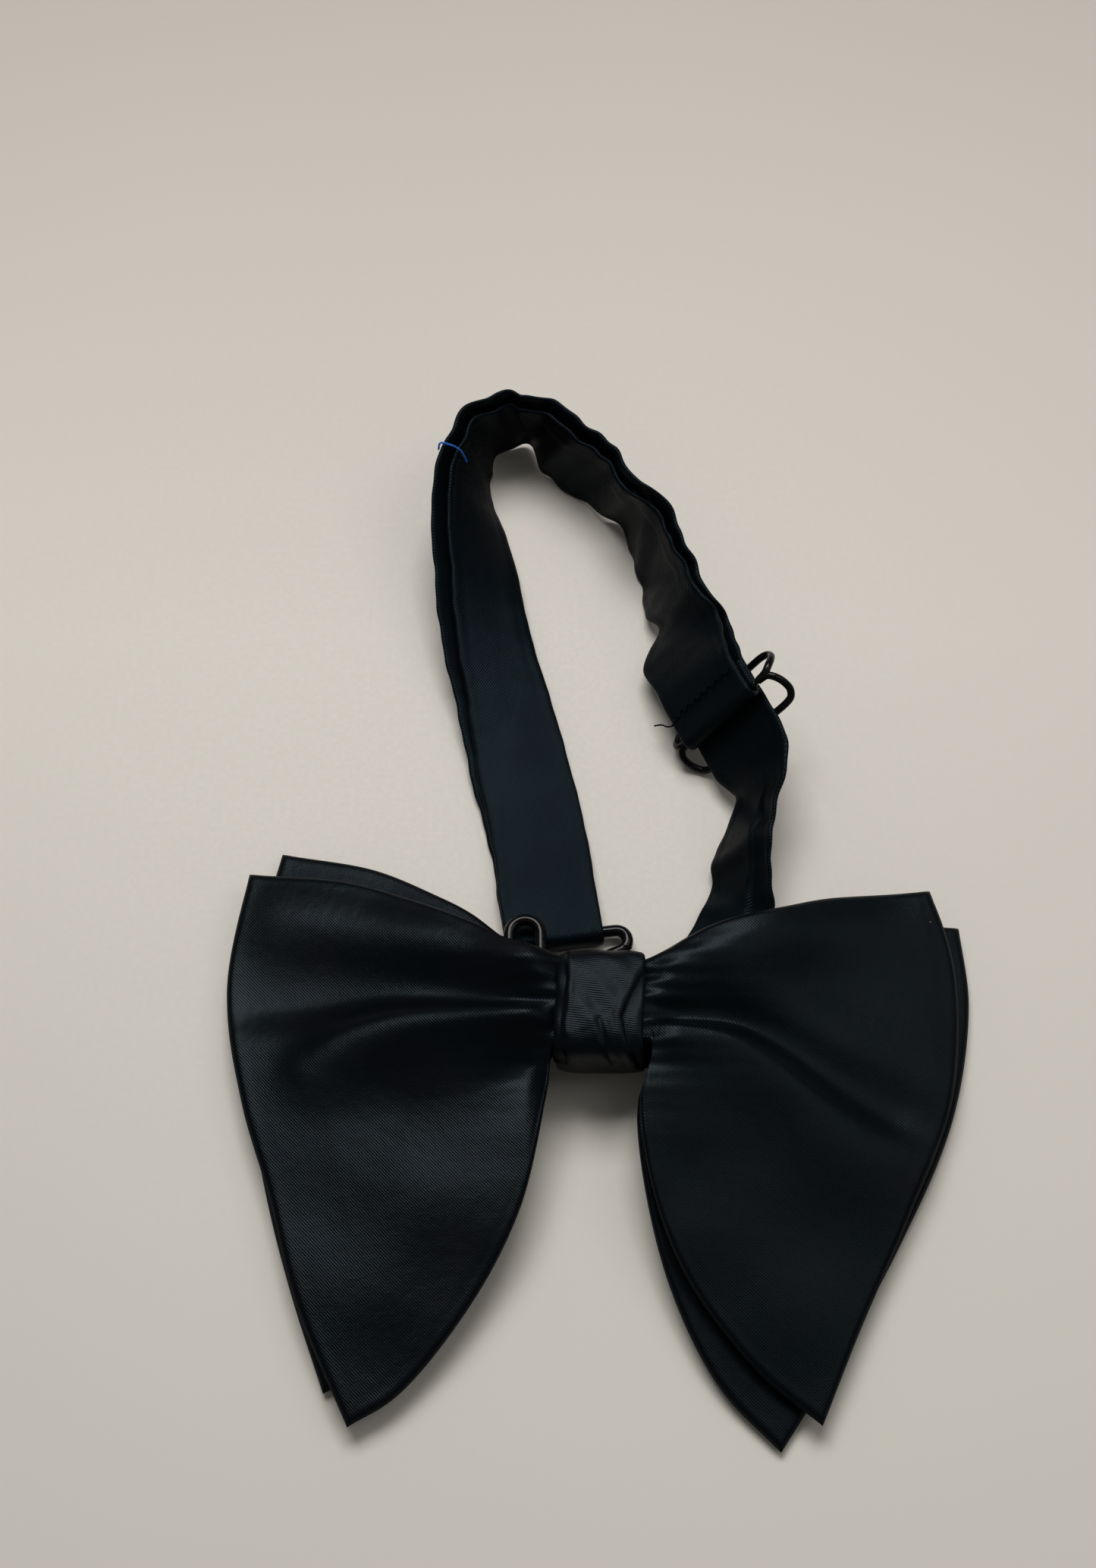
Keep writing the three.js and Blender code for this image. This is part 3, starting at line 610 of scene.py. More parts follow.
def stretch(start, end, pitch=STRAP_PITCH):
    """Even steps along the route from start to end, forward or back."""
    return np.linspace(start, end, max(3, int(abs(end - start) / pitch) + 1))


def fold_round(middle, radius, direction, reverse=False, steps=14):
    """Half turn of the strap round a bar that lies across it, in the row named middle."""
    angle = (np.pi * np.arange(steps + 1) / steps)[:, None]
    if reverse:
        angle = angle[::-1]
    normal = middle.normal * -np.cos(angle) + middle.along * direction * np.sin(angle)
    along = middle.along * np.cos(angle) + middle.normal * direction * np.sin(angle)
    rows = Rows(*(np.repeat(part, steps + 1, axis=0) for part in middle))
    return rows._replace(
        centre=middle.centre + normal * radius, along=along * (-1 if reverse else 1), normal=normal)


# Waves of the strap's face: rise, turn per mm along the route, phase, and turn per mm across the strap.
FACE_WAVES = [(0.16, 0.23, 0.6, 0.09), (0.12, 0.61, 2.1, -0.16), (0.05, 1.31, 0, 0.31)]
# Kinks of its face: distance along the route, lengthwise slope, rise and width.
KINKS = [
    (117, -0.3, 0.5, 2.4), (128, -0.35, 0.8, 2.2), (137, 0.4, -0.7, 2.6), (146, 0.45, 1.0, 2.4),
    (156, 0.5, -0.8, 2.6), (165, 0.55, 1.1, 2.6), (176, -0.3, 0.8, 2.6), (186, 0.45, -0.9, 2.6),
    (196, 0.4, 0.7, 2.4), (239, -0.45, 0.7, 2.4), (246, 0.5, -0.9, 2.4), (254, -0.4, 0.7, 2.6),
    (265, 0.4, -0.4, 2.6),
]
# Wander of both its edges: reach, turn per mm along the route and phase.
SWAY_WAVES = [(0.22, 0.19, 0.4), (0.13, 0.47, 1.9), (0.07, 1.07, 0)]
# Where its inner edge stands out (-) or is drawn in (+), by how much, and over what length.
EDGE_WAVES = [
    (72, 2.5, 24), (136, 0.9, 4), (148, -1.0, 4), (158, 1.1, 4), (171, -1.2, 4), (184, -1.4, 4),
    (196, 3.2, 4), (206, -1.8, 4), (244, 1.3, 4), (253, -1.3, 4), (263, 0.5, 4),
]
EDGE_ROLL = 0.07
SEAM_DEPTH = 0.09
TABLE_Z = -0.03


def loose(s, hook_end, ring_end, growth, held):
    """1 where the strap lies free, 0 at its ends and nearly 0 at the slider."""
    return (smooth((s - hook_end) / growth) * smooth((ROUTE.length - ring_end - s) / 12)
            * (1 - 0.8 * bell(s - SLIDER_AT, held)))


def ripple(s, y):
    """Soft creases of the strap's face, the same in both layers."""
    worn = 0.25 + 0.75 * smooth((s - 92) / 30)
    height = 0.0
    for rise, along, phase, across in FACE_WAVES:
        height = height + rise * np.sin(s * along + phase + across * y)
    kinks = 0.0
    for at, slope, rise, width in KINKS:
        off = s - at - slope * y
        kinks = kinks + rise * (bell(off, width) - 0.6 * bell(off - 2.2 * width, 1.3 * width))
    return (height + kinks) * loose(s, hook_end=6, ring_end=26, growth=16, held=16) * worn


def sway(s):
    """How far the strap's edges wander from their line."""
    worn = 0.7 + 0.9 * smooth((s - 100) / 20)
    waves = sum(reach * np.sin(s * along + phase) for reach, along, phase in SWAY_WAVES)
    return loose(s, hook_end=4, ring_end=30, growth=14, held=14) * worn * waves


def pleat(s, y):
    """Long folds beside the strap's outer edge, on the loop's right and on the run down to the bow."""
    run = smooth((s - BEND_TO - 18) / 10) * smooth((LAYER_END - 6 - s) / 14)
    low_run = smooth((s - SLIDER_AT - 14) / 10) * smooth((KNOT_AT - 22 - s) / 10)
    fold = 0.42 * run * smooth((y - (5.2 + 0.7 * np.sin(s * 0.33))) / 0.8)
    drop = 0.75 * smooth((y - 2.4 - 0.5 * np.sin(s * 0.3)) / 0.8)
    return fold - low_run * (drop - 0.5 * smooth((y - 6.6) / 0.7))


# A pressed edge's half round, and the number of points across a face.
EDGE_TURN = np.radians([60, 30, 0, -30, -60])
STRAP_COLUMNS = 26


def strap_piece(name, rows):
    """A pressed satin strip along rows, with its edges, creases and seam line."""
    half = STRAP_THICKNESS / 2
    face = np.linspace(-1, 1, STRAP_COLUMNS)
    flat = rows.width / 2 - half
    y = np.concatenate([
        face[None] * flat[:, None],
        flat[:, None] + half * np.cos(EDGE_TURN)[None],
        face[None, ::-1] * flat[:, None],
        -flat[:, None] - half * np.cos(EDGE_TURN)[None],
    ], axis=1)
    upper, round_edge = np.ones_like(face), np.sin(EDGE_TURN)
    side = np.concatenate([upper, round_edge, -upper, -round_edge])[None]
    inset = rows.width[:, None] / 2 - np.abs(y)
    roll = EDGE_ROLL * bell(inset - 1.0, 0.9) - SEAM_DEPTH * bell(inset - 2.5, 0.45)
    z = half * side * np.ones_like(y) + roll * np.sign(side) * (np.abs(side) == 1)
    lift = ripple(rows.s[:, None], y) + pleat(rows.s[:, None], y)
    shift = sway(rows.s)[:, None] * (1 + 0.04 * y)
    inner = smooth(-y / 8)
    for at, reach, width in EDGE_WAVES:
        shift = shift + inner * reach * bell(rows.s[:, None] - at, width)
    rings = (
        rows.centre[:, None]
        + rows.across[:, None] * (y + shift)[..., None]
        + rows.normal[:, None] * z[..., None]
        + rows.up[:, None] * lift[..., None]
    )
    rings[..., 2] += np.maximum(0, TABLE_Z - rings[..., 2].min(axis=1, keepdims=True))
    length = reach_along(rows.centre)
    weave = np.stack([np.broadcast_to(length[:, None], y.shape), y], axis=-1).reshape(-1, 2)
    vertices, faces = loft(rings)
    piece = make_object(name, vertices, faces, STRAP_SATIN, weave)
    return piece


hook_bar = strap(HOOK_BAR_AT, 0, FOLD_RADIUS)
HOOK_FOLD_AT = HOOK_BAR_AT + 0.6
hook_loop = strap_piece("satin_strap_hook_loop", outer_layer(stretch(BEND_TO, HOOK_FOLD_AT)).turned().then(
    fold_round(hook_bar, FOLD_RADIUS, -1), return_layer(stretch(HOOK_FOLD_AT, BEND_TO))))
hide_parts("strap_hook_end", "strap_outer_bend", "strap_return_bend")
in_row(strap(BEND_FROM).centre[0])
in_row(strap(BEND_TO).centre[0])
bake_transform(hook_loop)

slider_bar_row = strap(SLIDER_AT, 0, BAR_LIFT)
sewn_under = stretch(SLIDER_AT - 0.5, SLIDER_AT - 7)
return_run = strap_piece("satin_strap_return_run", return_layer(stretch(BEND_TO, SLIDER_AT - 0.5)).then(
    fold_round(slider_bar_row, SEWN_RADIUS, 1, reverse=True),
    strap(sewn_under, 0, BAR_LIFT - SEWN_RADIUS).turned()))
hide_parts("strap_return_layer", "strap_return_run", "strap_sewn_end")
in_row(strap(STRETCH_FROM).centre[0])
in_row(strap(STRETCH_TO).centre[0])
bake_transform(return_run)


def tab_rows(s, lift, gather):
    """Rows of the strap's end, drawn in and shifted by gather to fit the ring."""
    return strap(s, TAB_SHIFT * gather, lift, between(KNOT_STRAP_WIDTH, TAB_WIDTH, gather))


def narrowed(s):
    """Rows of the strap, drawn together beside the slider and fitted to the knot."""
    run = between(STRAP_WIDTH, RUN_WIDTH, smooth((s - SLIDER_AT - 11) / 9))
    return strap(s, width=between(run, KNOT_STRAP_WIDTH, smooth((s - KNOT_AT + 22) / 20)))


tab_end = ROUTE.length
tab_climb = stretch(tab_end - TAB_RISE, tab_end - 0.2, TAB_PITCH)
tab_gather = smooth((tab_climb - tab_end + TAB_RISE) / TAB_RISE)
tab_lift = (RING_Z + FOLD_RADIUS - KNOT_STRAP_Z) * tab_gather
tab_under = stretch(tab_end - 0.2, tab_end - 2.6, TAB_PITCH)
long_run = strap_piece("satin_strap_long_run", outer_layer(stretch(BEND_TO, LAYER_END)).then(
    narrowed(stretch(LAYER_END, tab_end - TAB_RISE - 0.3)),
    tab_rows(tab_climb, tab_lift, tab_gather),
    fold_round(tab_rows(tab_end, RING_Z - KNOT_STRAP_Z, 1.0), FOLD_RADIUS, 1, reverse=True),
    tab_rows(tab_under, RING_Z - FOLD_RADIUS - KNOT_STRAP_Z, 1.0).turned()))
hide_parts("strap_outer_layer", "strap_back")
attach(long_run, "bow")


# ---- the wire pieces ----
WIRE_SIDES = 20


def half_round(middle_along, middle_across, radius, start, end, steps=8):
    """Points of an arc from start to end degrees."""
    angle = np.radians(np.linspace(start, end, steps + 1))
    return [(middle_along + radius * math.cos(a), middle_across + radius * math.sin(a)) for a in angle]


def wire_piece(name, points, diameter, body, node, closed=False, up=None):
    vertices, faces = loft(tube_rings(points, diameter, WIRE_SIDES, closed, up), closed)
    stands_for(make_object(name, vertices, faces, WIRE, crease=75), "coated_wire", body, node)


# The hook in its own plane, along and across the strap: its leg, the bar in the strap's fold, the catch.
TURN_RADIUS = 2.2
TURN_ACROSS = 12.5
hook_plan = [
    (-2 * TURN_RADIUS, 2.5), (-2 * TURN_RADIUS, 8),
    *half_round(-TURN_RADIUS, TURN_ACROSS, TURN_RADIUS, 180, 0),
    (0, 6), (0, 0), (0, -6),
    *half_round(-TURN_RADIUS, -TURN_ACROSS, TURN_RADIUS, 0, -160),
    (-5.6, -9.4), (-8.2, -6.8), (-10.4, -2.6), (-11, 3), (-10.6, 8), (-9.4, 11.2),
]
hook_line = Curve([hook_bar.point(a, c, 0) for a, c in hook_plan])
wire_piece("wire_hook", hook_line.at(np.linspace(0, 1, 190)), HOOK_WIRE, "hook", "hook", up=hook_bar.normal[0])

ring_radius = (RING_WIDTH - HOOK_WIRE) / 2
ring_straight = (RING_LENGTH - RING_WIDTH) / 2
ring_side = np.linspace(ring_straight, -ring_straight, 22)[1:-1]
ring_plan = [
    *[(x, ring_straight + y) for x, y in half_round(0, 0, ring_radius, 0, 180, 20)],
    *[(-ring_radius, y) for y in ring_side],
    *[(x, y - ring_straight) for x, y in half_round(0, 0, ring_radius, 180, 360, 20)],
    *[(ring_radius, y) for y in ring_side[::-1]],
]
ring_line = [(RING_X + x, RING_Y + y, RING_Z) for x, y in ring_plan]
wire_piece("wire_ring", ring_line, HOOK_WIRE, "ring", "ring", closed=True, up=(0, 0, 1))

LOBE_RADIUS = 2.9
SLIDER_SHIFT = 1.0
LOBE_ACROSS = 11.6
OUTER_BAR_DROP = STRAP_THICKNESS / 2 + 1.5 * GAP + SLIDER_WIRE / 2
slider_row = strap(SLIDER_AT)


def slider_point(along, across):
    """A point of the slider's wire: over the strap in its middle, under it at both ends."""
    rise = BAR_LIFT + (-OUTER_BAR_DROP - BAR_LIFT) * smooth(abs(along) / (2 * LOBE_RADIUS))
    return slider_row.point(along, across + SLIDER_SHIFT, rise)


upper_lobe = [
    (2 * LOBE_RADIUS, 0), (2 * LOBE_RADIUS, 6),
    *half_round(LOBE_RADIUS, LOBE_ACROSS, LOBE_RADIUS, 0, 150, 5),
    (0, LOBE_ACROSS - 1),
    *half_round(-LOBE_RADIUS, LOBE_ACROSS, LOBE_RADIUS, 30, 180, 5),
    (-2 * LOBE_RADIUS, 6),
]
lower_lobe = [(-a, -c) for a, c in upper_lobe]
slider_line = Curve([slider_point(a, c) for a, c in upper_lobe + lower_lobe], closed=True)
wire_piece("wire_slider_frame", slider_line.at(np.arange(260) / 260), SLIDER_WIRE, "slider", "slider_frame",
           closed=True, up=slider_row.normal[0])
bar_reach = LOBE_ACROSS - 1 - SLIDER_WIRE / 2 - GAP
bar_line = [slider_row.point(0, SLIDER_SHIFT + c, BAR_LIFT) for c in np.linspace(-bar_reach, bar_reach, 16)]
wire_piece("wire_slider_bar", bar_line, SLIDER_WIRE * 0.96, "slider", "slider_bar", up=slider_row.normal[0])


# ---- the blades ----
# Outlines with x away from the knot, each edge from the knot or from the top corner toward the tip.
FRONT_LEFT = {
    "side": -1,
    "top": [(8.5, 8.8), (18, 12.2), (26, 17.3), (38.7, 23.6), (51.5, 28.3), (71.6, 31.1)],
    "outer": [(74.7, 6.8), (70.1, -17.1), (63.5, -36.2), (57.5, -55.9)],
    "tip": (47, -78),
    "lower": [(9, -9), (10.6, -17.4), (15.6, -39.2), (24.7, -56.5), (38, -72.5)],
}
REAR_LEFT = {
    "side": -1,
    "top": [(8.5, 8.8), (17, 13), (25.8, 20.9), (32.6, 25.3), (45.7, 32.2), (65.6, 37.1)],
    "outer": [(70.5, 12), (69.5, -12), (65, -33.4), (59, -53)],
    "tip": (52, -71.5),
    "lower": [(9, -9), (12, -18), (19, -38), (29, -54), (41, -66)],
}
FRONT_RIGHT = {
    "side": 1,
    "top": [(8.5, 8.4), (20.7, 14.9), (35.1, 19.5), (46.5, 23.5), (67.1, 26.9)],
    "outer": [(70.8, 8.8), (67.9, -17.1), (57.8, -39.9), (47.2, -61)],
    "tip": (39.4, -77.8),
    "lower": [(9, -9), (9, -12.8), (7.2, -18.5), (8.4, -33), (14.5, -50.6), (27.3, -67.9)],
}
REAR_RIGHT = {
    "side": 1,
    "top": [(8.5, 8.4), (20, 13.6), (34, 17.5), (50, 20.5), (73.2, 20.4)],
    "outer": [(73.8, 3.5), (68.4, -20.1), (56, -45), (43, -66)],
    "tip": (32, -82),
    "lower": [(9, -9), (8.9, -12.6), (6.8, -18.5), (7.1, -30), (12, -52), (21, -70.5)],
}
# How far the knot's height reaches, the rear blades' height beyond that, and the front ones' over them.
DRAPE_REACH = 43.0
REAR_REST = 0.95
OUTER_STEP = 3.5

# Folds that run out from the knot: path, rise at its two ends, and width above and below it at its two ends.
LEFT_FOLDS = [
    ([(8, 5.0), (22, 10.5), (42, 16), (64, 20)], (1.4, 1.3), (4, 8), (4, 10)),
    ([(8, -0.6), (19.6, 0.2), (30, 2.0), (40, 3.2), (52, 2.8), (68, 3)], (-2.2, -2.6), (3.2, 15), (1.8, 6)),
    ([(9, -4.0), (19.6, -3.4), (28, -2.6), (40, -3.0), (49, -5.2), (57, -11)], (2.5, 1.3), (1.8, 5), (2.8, 8)),
    ([(9, -10), (16, -15), (27, -19), (40, -21), (52, -24)], (-3.4, -1.2), (4.5, 12), (8, 22)),
]
RIGHT_FOLDS = [
    ([(8, 3.5), (17.3, 8), (30.6, 12.5), (48, 17), (64, 19)], (1.8, 1.6), (4, 8), (4.5, 12)),
    ([(8.5, -3.0), (17.3, -3.2), (27, -3.6), (35, -7.5), (44, -14), (54, -20.5)],
     (-2.6, -1.1), (3.2, 9), (1.5, 5)),
    ([(10, -5.8), (21.7, -7.0), (30, -11), (42, -19.5), (62, -31)], (2.2, 1.0), (2.0, 5), (5, 16)),
    ([(27, 0.5), (38, -3), (50, -8.5), (62, -14)], (0.7, 1.1), (6, 10), (3, 6)),
    ([(18, -33), (38, -42), (54, -47)], (-1.1, -0.8), (15, 15), (9, 11)),
]


def fold_field(side, x, y):
    """Height that the folds add. x runs away from the knot."""
    total = np.zeros_like(x)
    for path, rise, upper, lower in LEFT_FOLDS if side < 0 else RIGHT_FOLDS:
        share = np.linspace(0, 1, 60)
        line = Curve(path).at(share)
        heading = unit(np.gradient(line, axis=0))
        off_x = x[..., None] - line[:, 0]
        off_y = y[..., None] - line[:, 1]
        gap = off_x ** 2 + off_y ** 2
        nearest = np.argmin(gap, axis=-1)
        pick = lambda a: np.take_along_axis(a, nearest[..., None], -1)[..., 0]
        t = share[nearest]
        cross = heading[nearest, 0] * pick(off_y) - heading[nearest, 1] * pick(off_x)
        above = 0.5 + 0.5 * cross / np.sqrt(pick(gap) + 1e-6)
        width = between(between(*lower, t), between(*upper, t), above)
        total += between(*rise, t) * np.exp(-pick(gap) / width ** 2)
    ease = smooth((x - 7.0) / 8)
    soft = 0.16 * np.sin(0.21 * x + 0.13 * y + 1.1 * side) + 0.12 * np.sin(0.11 * x - 0.27 * y + 0.7)
    return (total + soft) * ease


def mound(x, y, middle_x, middle_y, reach):
    return np.exp(-((x - middle_x) ** 2 + (y - middle_y) ** 2) / reach ** 2)


def soft_floor(value, floor, ease=0.25):
    """Value kept above floor, with a rounded change."""
    return floor + ease * np.logaddexp(0, (value - floor) / ease)


def drape(side, x, y, step):
    """Height of the middle of the rear blades' thickness, and of the front ones' with step 1."""
    away = np.maximum(0, np.hypot(x - 2, y * 0.9) - 9)
    fall = np.exp(-((away / DRAPE_REACH) ** 2))
    pleats = 0.5 * PLEAT * np.cos(y * 0.72) * np.exp(-away / 9)
    gathers = 0.14 * np.sin(y * 2.1 + 0.8 * side) * np.exp(-away / 7) * smooth((x - 6) / 3)
    over_tab = 3.5 * mound(x, y, middle_x=15, middle_y=5.5, reach=9) if side < 0 else 0
    over_strap = 3.8 * mound(x, y, middle_x=31, middle_y=21, reach=14) if side > 0 else 0
    folds = fold_field(side, x, y)
    rear = between(REAR_REST, ROOT_REAR_Z, fall) + pleats + over_tab + over_strap + 0.6 * folds
    rear = soft_floor(rear, BLADE_THICKNESS / 2 - 0.045)
    if step == 0:
        return rear
    over_rear = between(OUTER_STEP, ROOT_STEP, fall) + 0.4 * folds + gathers
    return rear + soft_floor(over_rear, BLADE_THICKNESS + GAP)


class Patch:
    """A blade's plan: u runs from the root to the outer edge, v from the lower to the top edge."""

    def __init__(self, outline):
        self.root_low = np.array([ROOT_X, ROOT_Y - ROOT_HALF_HEIGHT])
        self.root_top = np.array([ROOT_X, ROOT_Y + ROOT_HALF_HEIGHT])
        self.top = Curve([self.root_top, *outline["top"]])
        self.lower = Curve([self.root_low, *outline["lower"], outline["tip"]])
        self.outer = Curve([outline["top"][-1], *outline["outer"], outline["tip"]])
        self.corner = np.array(outline["top"][-1], float)
        self.tip = np.array(outline["tip"], float)

    def at(self, u, v):
        u_grid, v_grid = (g[..., None] for g in np.meshgrid(u, v, indexing="ij"))
        root = between(self.root_low, self.root_top, v_grid)
        along = self.lower.at(u)[:, None] * (1 - v_grid) + self.top.at(u)[:, None] * v_grid
        across = root * (1 - u_grid) + self.outer.at(1 - v)[None] * u_grid
        far = between(self.tip, self.corner, v_grid)
        return along + across - (root * (1 - u_grid) + far * u_grid)


def toward_rims(count, rims):
    """Shares from 0 to 1 with extra ones close to the rims: at 0, at 1 or at both."""
    near = np.array([0.0, 0.0008, 0.0028, 0.006, 0.0105, 0.0165])
    middle = np.linspace(0.024, 0.976, count)
    low = near if 0 in rims else np.array([0.0, 0.012])
    high = 1 - (near[::-1] if 1 in rims else np.array([0.012, 0.0]))
    return np.concatenate([low, middle, high])


def rim_shape(plan, inner_u, inner_v, at_root, radius):
    """How thick a sheet is, from 0 on its rims to 1, and the pressed seam beside them."""
    length_u = np.linalg.norm(plan[-1] - plan[0], axis=-1)[None]
    length_v = np.linalg.norm(np.diff(plan, axis=1), axis=-1).sum(axis=1)[:, None]
    insets = [(1 - inner_u)[:, None] * length_u, inner_v[None] * length_v, (1 - inner_v)[None] * length_v]
    if not at_root:
        insets.append(inner_u[:, None] * length_u)
    body = np.ones(plan.shape[:2])
    seam = np.zeros(plan.shape[:2])
    for inset in insets:
        body *= np.sqrt(np.clip(1 - (1 - np.clip(inset / radius, 0, 1)) ** 2, 0, 1))
        seam += bell(inset - 2.1 * radius, 0.8 * radius)
    return body, np.clip(seam, 0, 1)


def closed_sheet(top, bottom, on_rim, at_root):
    """Vertices and faces of two grids of points joined at their rims, and which grid points are kept."""
    rows, columns = on_rim.shape
    index = np.arange(rows * columns).reshape(rows, columns)
    under = np.where(on_rim, index, index + rows * columns)
    quads = lambda grid: np.stack([grid[:-1, :-1], grid[1:, :-1], grid[1:, 1:], grid[:-1, 1:]], axis=-1)
    faces = np.vstack([quads(index).reshape(-1, 4), quads(under)[..., ::-1].reshape(-1, 4)]).tolist()
    used = np.unique(faces)
    if at_root:
        faces.append([*index[0], *under[0, -2:0:-1]])
    renumber = np.full(2 * rows * columns, -1)
    renumber[used] = np.arange(len(used))
    faces = [[int(renumber[i]) for i in face] for face in faces]
    return np.vstack([top.reshape(-1, 3), bottom.reshape(-1, 3)])[used], faces, used


def sheet_piece(name, outline, step, edges, thickness, material, rim_radius, counts):
    """A closed, rounded sheet in a blade's shape between shares of it, thick about its middle face."""
    side = outline["side"]
    u_from, u_to, v_from, v_to = edges
    at_root = u_from == 0
    inner_u = toward_rims(counts[0], {1} if at_root else {0, 1})
    inner_v = toward_rims(counts[1], {0, 1})
    plan = Patch(outline).at(between(u_from, u_to, inner_u), between(v_from, v_to, inner_v))
    x, y = plan[..., 0], plan[..., 1]
    body, seam = rim_shape(plan, inner_u, inner_v, at_root, rim_radius)
    on_rim = np.zeros(x.shape, bool)
    on_rim[-1] = on_rim[:, 0] = on_rim[:, -1] = True
    on_rim[0] |= not at_root
    half = np.where(on_rim, 0, thickness / 2 * (body - 0.03 * seam))
    middle = drape(side, x, y, step)
    top, bottom = (np.stack([side * x, y, middle + off], axis=-1) for off in (half, -half))
    vertices, faces, used = closed_sheet(top, bottom, on_rim, at_root)
    if side < 0:
        faces = [face[::-1] for face in faces]
    edge = np.tile(1 - smooth(body.ravel() / 0.9), 2)[used]
    weave = np.column_stack([vertices[:, 0] + 0.35 * vertices[:, 2], vertices[:, 1]])
    piece = make_object(name, vertices, faces, material, weave, crease=80, edge=edge)
    float(np.ptp(x)) * MM
    float(np.ptp(y)) * MM
    return piece


# What cloth and lining take up of a blade, from root to outer edge and from lower to top edge.
WHOLE = (0, 1, 0, 1)
LINING = (0.2, 0.92, 0.1, 0.9)
BLADES = {
    "rear_left": (REAR_LEFT, 0), "rear_right": (REAR_RIGHT, 0),
    "front_left": (FRONT_LEFT, 1), "front_right": (FRONT_RIGHT, 1),
}
for blade, (outline, step) in BLADES.items():
    cloth = sheet_piece(f"satin_{blade}_blade", outline, step, WHOLE, BLADE_THICKNESS, SATIN,
                        rim_radius=1.3, counts=(110, 120))
    stands_for(cloth, "satin", "bow", f"{blade}_blade")
    lining = sheet_piece(f"canvas_{blade}_interlining", outline, step, LINING, LINING_THICKNESS, CANVAS,
                         rim_radius=0.25, counts=(50, 56))
    stands_for(lining, "interlining", "bow", f"{blade}_interlining")


# ---- the knot ----
KNOT_MIDDLE_Z = (KNOT_BACK_Z + KNOT_FRONT_Z) / 2
KNOT_HALF_DEPTH = (KNOT_FRONT_Z - KNOT_BACK_Z) / 2
# How square the wrap's section is in front and at the back: 2 is round.
FRONT_SQUARENESS = 4.0
BACK_SQUARENESS = 6.0


def knot_section(count):
    """Outer face of the wrap in Y and Z, its outward normals, and the distance round it from its front."""
    angle = np.linspace(0, 2 * np.pi, 2881)[:-1] + np.pi / 2
    power = np.where(np.sin(angle) > 0, 2 / FRONT_SQUARENESS, 2 / BACK_SQUARENESS)
    y = KNOT_HALF_HEIGHT * np.sign(np.cos(angle)) * np.abs(np.cos(angle)) ** power
    z = KNOT_HALF_DEPTH * np.sign(np.sin(angle)) * np.abs(np.sin(angle)) ** power
    loop = np.column_stack([y + KNOT_Y, z + KNOT_MIDDLE_Z])
    closed = np.vstack([loop, loop[:1]])
    reach = reach_along(closed)
    even = np.arange(count) / count * reach[-1]
    points = np.column_stack([np.interp(even, reach, closed[:, i]) for i in (0, 1)])
    tangent = unit(np.roll(points, -1, axis=0) - np.roll(points, 1, axis=0))
    normal = np.column_stack([tangent[:, 1], -tangent[:, 0]])
    around = np.where(even > reach[-1] / 2, reach[-1] - even, -even)
    return points, normal, around


def from_line(x, q, line):
    """Signed distance in x from a line of (x, q) points with q falling, and whether q is beside it."""
    xs, qs = (np.array(c, float)[::-1] for c in zip(*line))
    beside = smooth((q - qs[0] + 1.2) / 1.2) * smooth((qs[-1] + 1.2 - q) / 1.2)
    return x - np.interp(q, qs, xs), beside


# Lines on the wrap's face, as x and the distance q up from its middle. Creases have a depth and a width.
OVERLAP = [(9.2, 9.5), (7.8, 6.2), (5.4, 1.2), (3.4, -3.6), (4.1, -7.5), (6.2, -14.5), (6.8, -19)]
SIDE_FOLD = [(-7.6, 12), (-6.9, 4), (-7.4, -5), (-6.8, -16)]
CREASES = [
    ([(-0.8, -4.5), (0.2, -8.5), (2.2, -15.5)], 0.24, 0.6),
    ([(-4.6, 8.5), (-2.2, 2.5), (-1.4, -1.5)], 0.08, 1.4),
    ([(-3.8, -7.0), (-3.2, -12.0), (-2.4, -16.0)], 0.1, 1.0),
]
KNOT_LEFT_REACH = 1.14


def knot_relief(x, q):
    """Height of the wrap's folds over its plain face."""
    off, beside = from_line(x, q, OVERLAP)
    drawn = smooth((0.6 - off) / 1.2) * smooth((q + 9) / 5)
    relief = beside * (
        -0.62 * smooth(off / 0.35 + 0.5) + 0.22 * bell(off + 0.9, 0.9) + 0.3 * bell(off - 3.4, 1.6)
    )
    off, beside = from_line(x, q, SIDE_FOLD)
    relief += beside * (-0.42 * smooth(-off / 0.3 + 0.5) + 0.14 * bell(off - 0.8, 0.7))
    for line, depth, width in CREASES:
        off, beside = from_line(x, q, line)
        banks = 0.45 * depth * bell(np.abs(off) - 2.2 * width, 1.4 * width)
        relief += beside * (-depth * bell(off, width) + banks)
    relief += 0.09 * drawn * np.sin(0.85 * (x + 0.9 * q) + 0.4)
    front = smooth((24 - np.abs(q)) / 6)
    return relief * front - 0.55 * np.clip(np.abs(x) / KNOT_HALF_WIDTH, 0, 1.1) ** 4


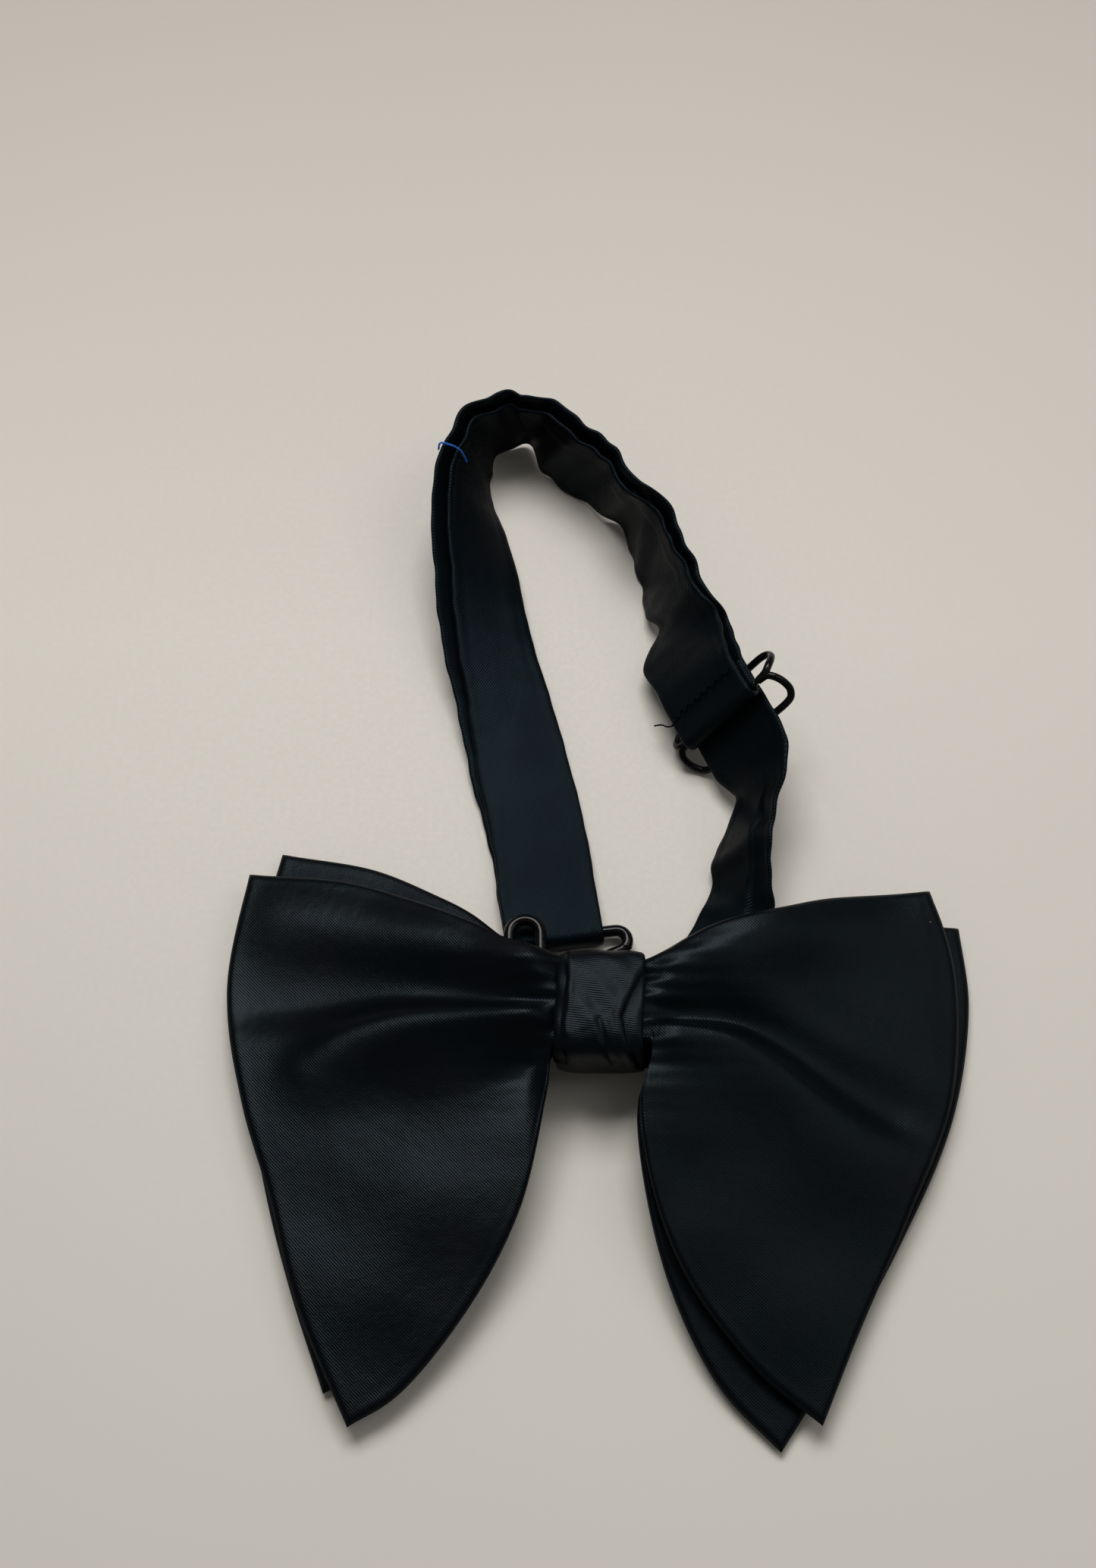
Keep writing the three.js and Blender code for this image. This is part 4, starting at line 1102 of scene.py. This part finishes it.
def knot_wrap():
    """The satin band round the middle, its outer face finer than its inner one."""
    points, normal, around = knot_section(300)
    hem = KNOT_WALL / 2
    flat = KNOT_HALF_WIDTH - hem
    outer_x = np.linspace(-flat, flat, 72)
    inner_x = outer_x[::-6]
    x = np.concatenate([outer_x, flat + hem * np.cos(EDGE_TURN), inner_x, -flat - hem * np.cos(EDGE_TURN)])
    level = np.concatenate([
        np.zeros_like(outer_x), hem * (np.sin(EDGE_TURN) - 1),
        np.full_like(inner_x, -2 * hem), hem * (-np.sin(EDGE_TURN) - 1),
    ])
    x = np.where(x < 0, x * KNOT_LEFT_REACH, x)
    slant = 0.35 * np.sin(around / 5.0)[:, None] * smooth((np.abs(x) - 5) / 3)[None]
    grid_x = x[None] + slant
    relief = knot_relief(x[None] + 0 * around[:, None], around[:, None] + 0 * x[None])
    keep = np.where(level > -0.75 * KNOT_WALL, 1.0, 0.35)[None]
    out = level[None] + relief * keep
    y = points[:, :1] + normal[:, :1] * out
    z = points[:, 1:] + normal[:, 1:] * out
    vertices, faces = loft(np.stack([grid_x, y, z], axis=-1), closed=True)
    weave = np.stack([grid_x * 0.8 + around[:, None] * 0.6, around[:, None] * 0.8 - grid_x * 0.6], axis=-1)
    piece = make_object("satin_knot_wrap", vertices, faces, SATIN, weave.reshape(-1, 2), crease=70)
    stands_for(piece, "satin", "bow", "knot_wrap")


def gather_binding():
    """Thread wound many times round the gathered roots, inside the wrap."""
    points, normal, _ = knot_section(64)
    turns, half_width = 9, 4
    line = []
    for i in range(turns * len(points) + 1):
        k = i % len(points)
        wobble = 0.12 * math.sin(i * 0.37)
        inset = -(KNOT_WALL + 0.95) + 0.15 * math.sin(i * 0.11)
        y, z = points[k] + normal[k] * inset
        line.append((-half_width + 2 * half_width * i / (turns * len(points)) + wobble, y, z))
    vertices, faces = loft(tube_rings(line, THREAD, 7))
    piece = make_object("wound_gather_binding", vertices, faces, BLACK_THREAD)
    stands_for(piece, "black_thread", "bow", "gather_binding")


knot_wrap()
gather_binding()


# ---- the threads ----
def stitches(name, lines, diameter, material, slot, body, node):
    """One piece of thread that follows each of the lines."""
    parts = [part for line in lines for part in twisted_thread(line, diameter)]
    vertices, faces = joined(parts)
    stands_for(make_object(name, vertices, faces, material, crease=80), slot, body, node)


def zigzag(count, place):
    """Points from side to side along a seam, made by place from a share along it and a side."""
    return [place(i / count - 0.5, i % 2 - 0.5) for i in range(count + 1)]


stitches(
    "stitched_knot_closing",
    [zigzag(10, lambda t, side: (
        5 + 1.4 * side, KNOT_Y + KNOT_HALF_HEIGHT + 0.1 + THREAD / 2, KNOT_MIDDLE_Z + 10 * t))],
    THREAD, BLACK_THREAD, "black_thread", "bow", "knot_closing_stitch",
)
SEAM_AT = SLIDER_AT - 5.2
sewn_row = strap(SEAM_AT, 0, return_lift(np.array([SEAM_AT])))
STITCH_OFF = STRAP_THICKNESS / 2 + THREAD / 2
loose_end = [
    sewn_row.point(*p) for p in ((0.4, -8.4, 0.8), (1.0, -9.6, 1.0), (0.2, -11.2, 0.6), (-1.2, -12.4, 0.2),
                                 (-2.0, -13.8, 0.6))
]
stitches(
    "stitched_sewn_end",
    [zigzag(16, lambda t, side: sewn_row.point(0.9 * side, 17 * t, STITCH_OFF)), loose_end],
    THREAD * 0.8, BLACK_THREAD, "black_thread", "slider", "sewn_end_stitch",
)
tab_row = strap(ROUTE.length - 1.4, 0, RING_Z - FOLD_RADIUS - KNOT_STRAP_Z)
stitches(
    "stitched_ring_tab",
    [zigzag(8, lambda t, side: tab_row.point(0.8 * side, 6 * t - 1, -STITCH_OFF))],
    THREAD, BLACK_THREAD, "black_thread", "bow", "ring_tab_stitch",
)
TACK_AT = BEND_TO + 0.8
TACK_SHIFT = STRAP_WIDTH / 2 + float(outer_shift(TACK_AT)) + GAP + THREAD / 2
tack_row = strap(TACK_AT, TACK_SHIFT)
tack_reach = LAYER_PITCH + STRAP_THICKNESS / 2 + 1.5 * GAP + THREAD / 2
stitches(
    "blue_tack_thread",
    [[tack_row.point(*p) for p in (
        (-0.4, -7, tack_reach + 0.1), (0.2, -LAYER_SHIFT, tack_reach), (0, -0.2, 1.5), (0.3, 0.3, 0),
        (0.2, -1.6, -STRAP_THICKNESS / 2 - 2 * GAP - THREAD / 2))]],
    THREAD, BLUE_THREAD, "blue_thread", "bow", "blue_thread_tack",
)

# ---- the table ----
TABLE_REACH = 1.6
corners = [(x * TABLE_REACH, y * TABLE_REACH, 0) for x, y in ((-1, -1), (1, -1), (1, 1), (-1, 1))]
table_mesh = bpy.data.meshes.new("table")
table_mesh.from_pydata(corners, [], [(0, 1, 2, 3)])
table_mesh.materials.append(TABLE)
table = new_object("table", table_mesh)
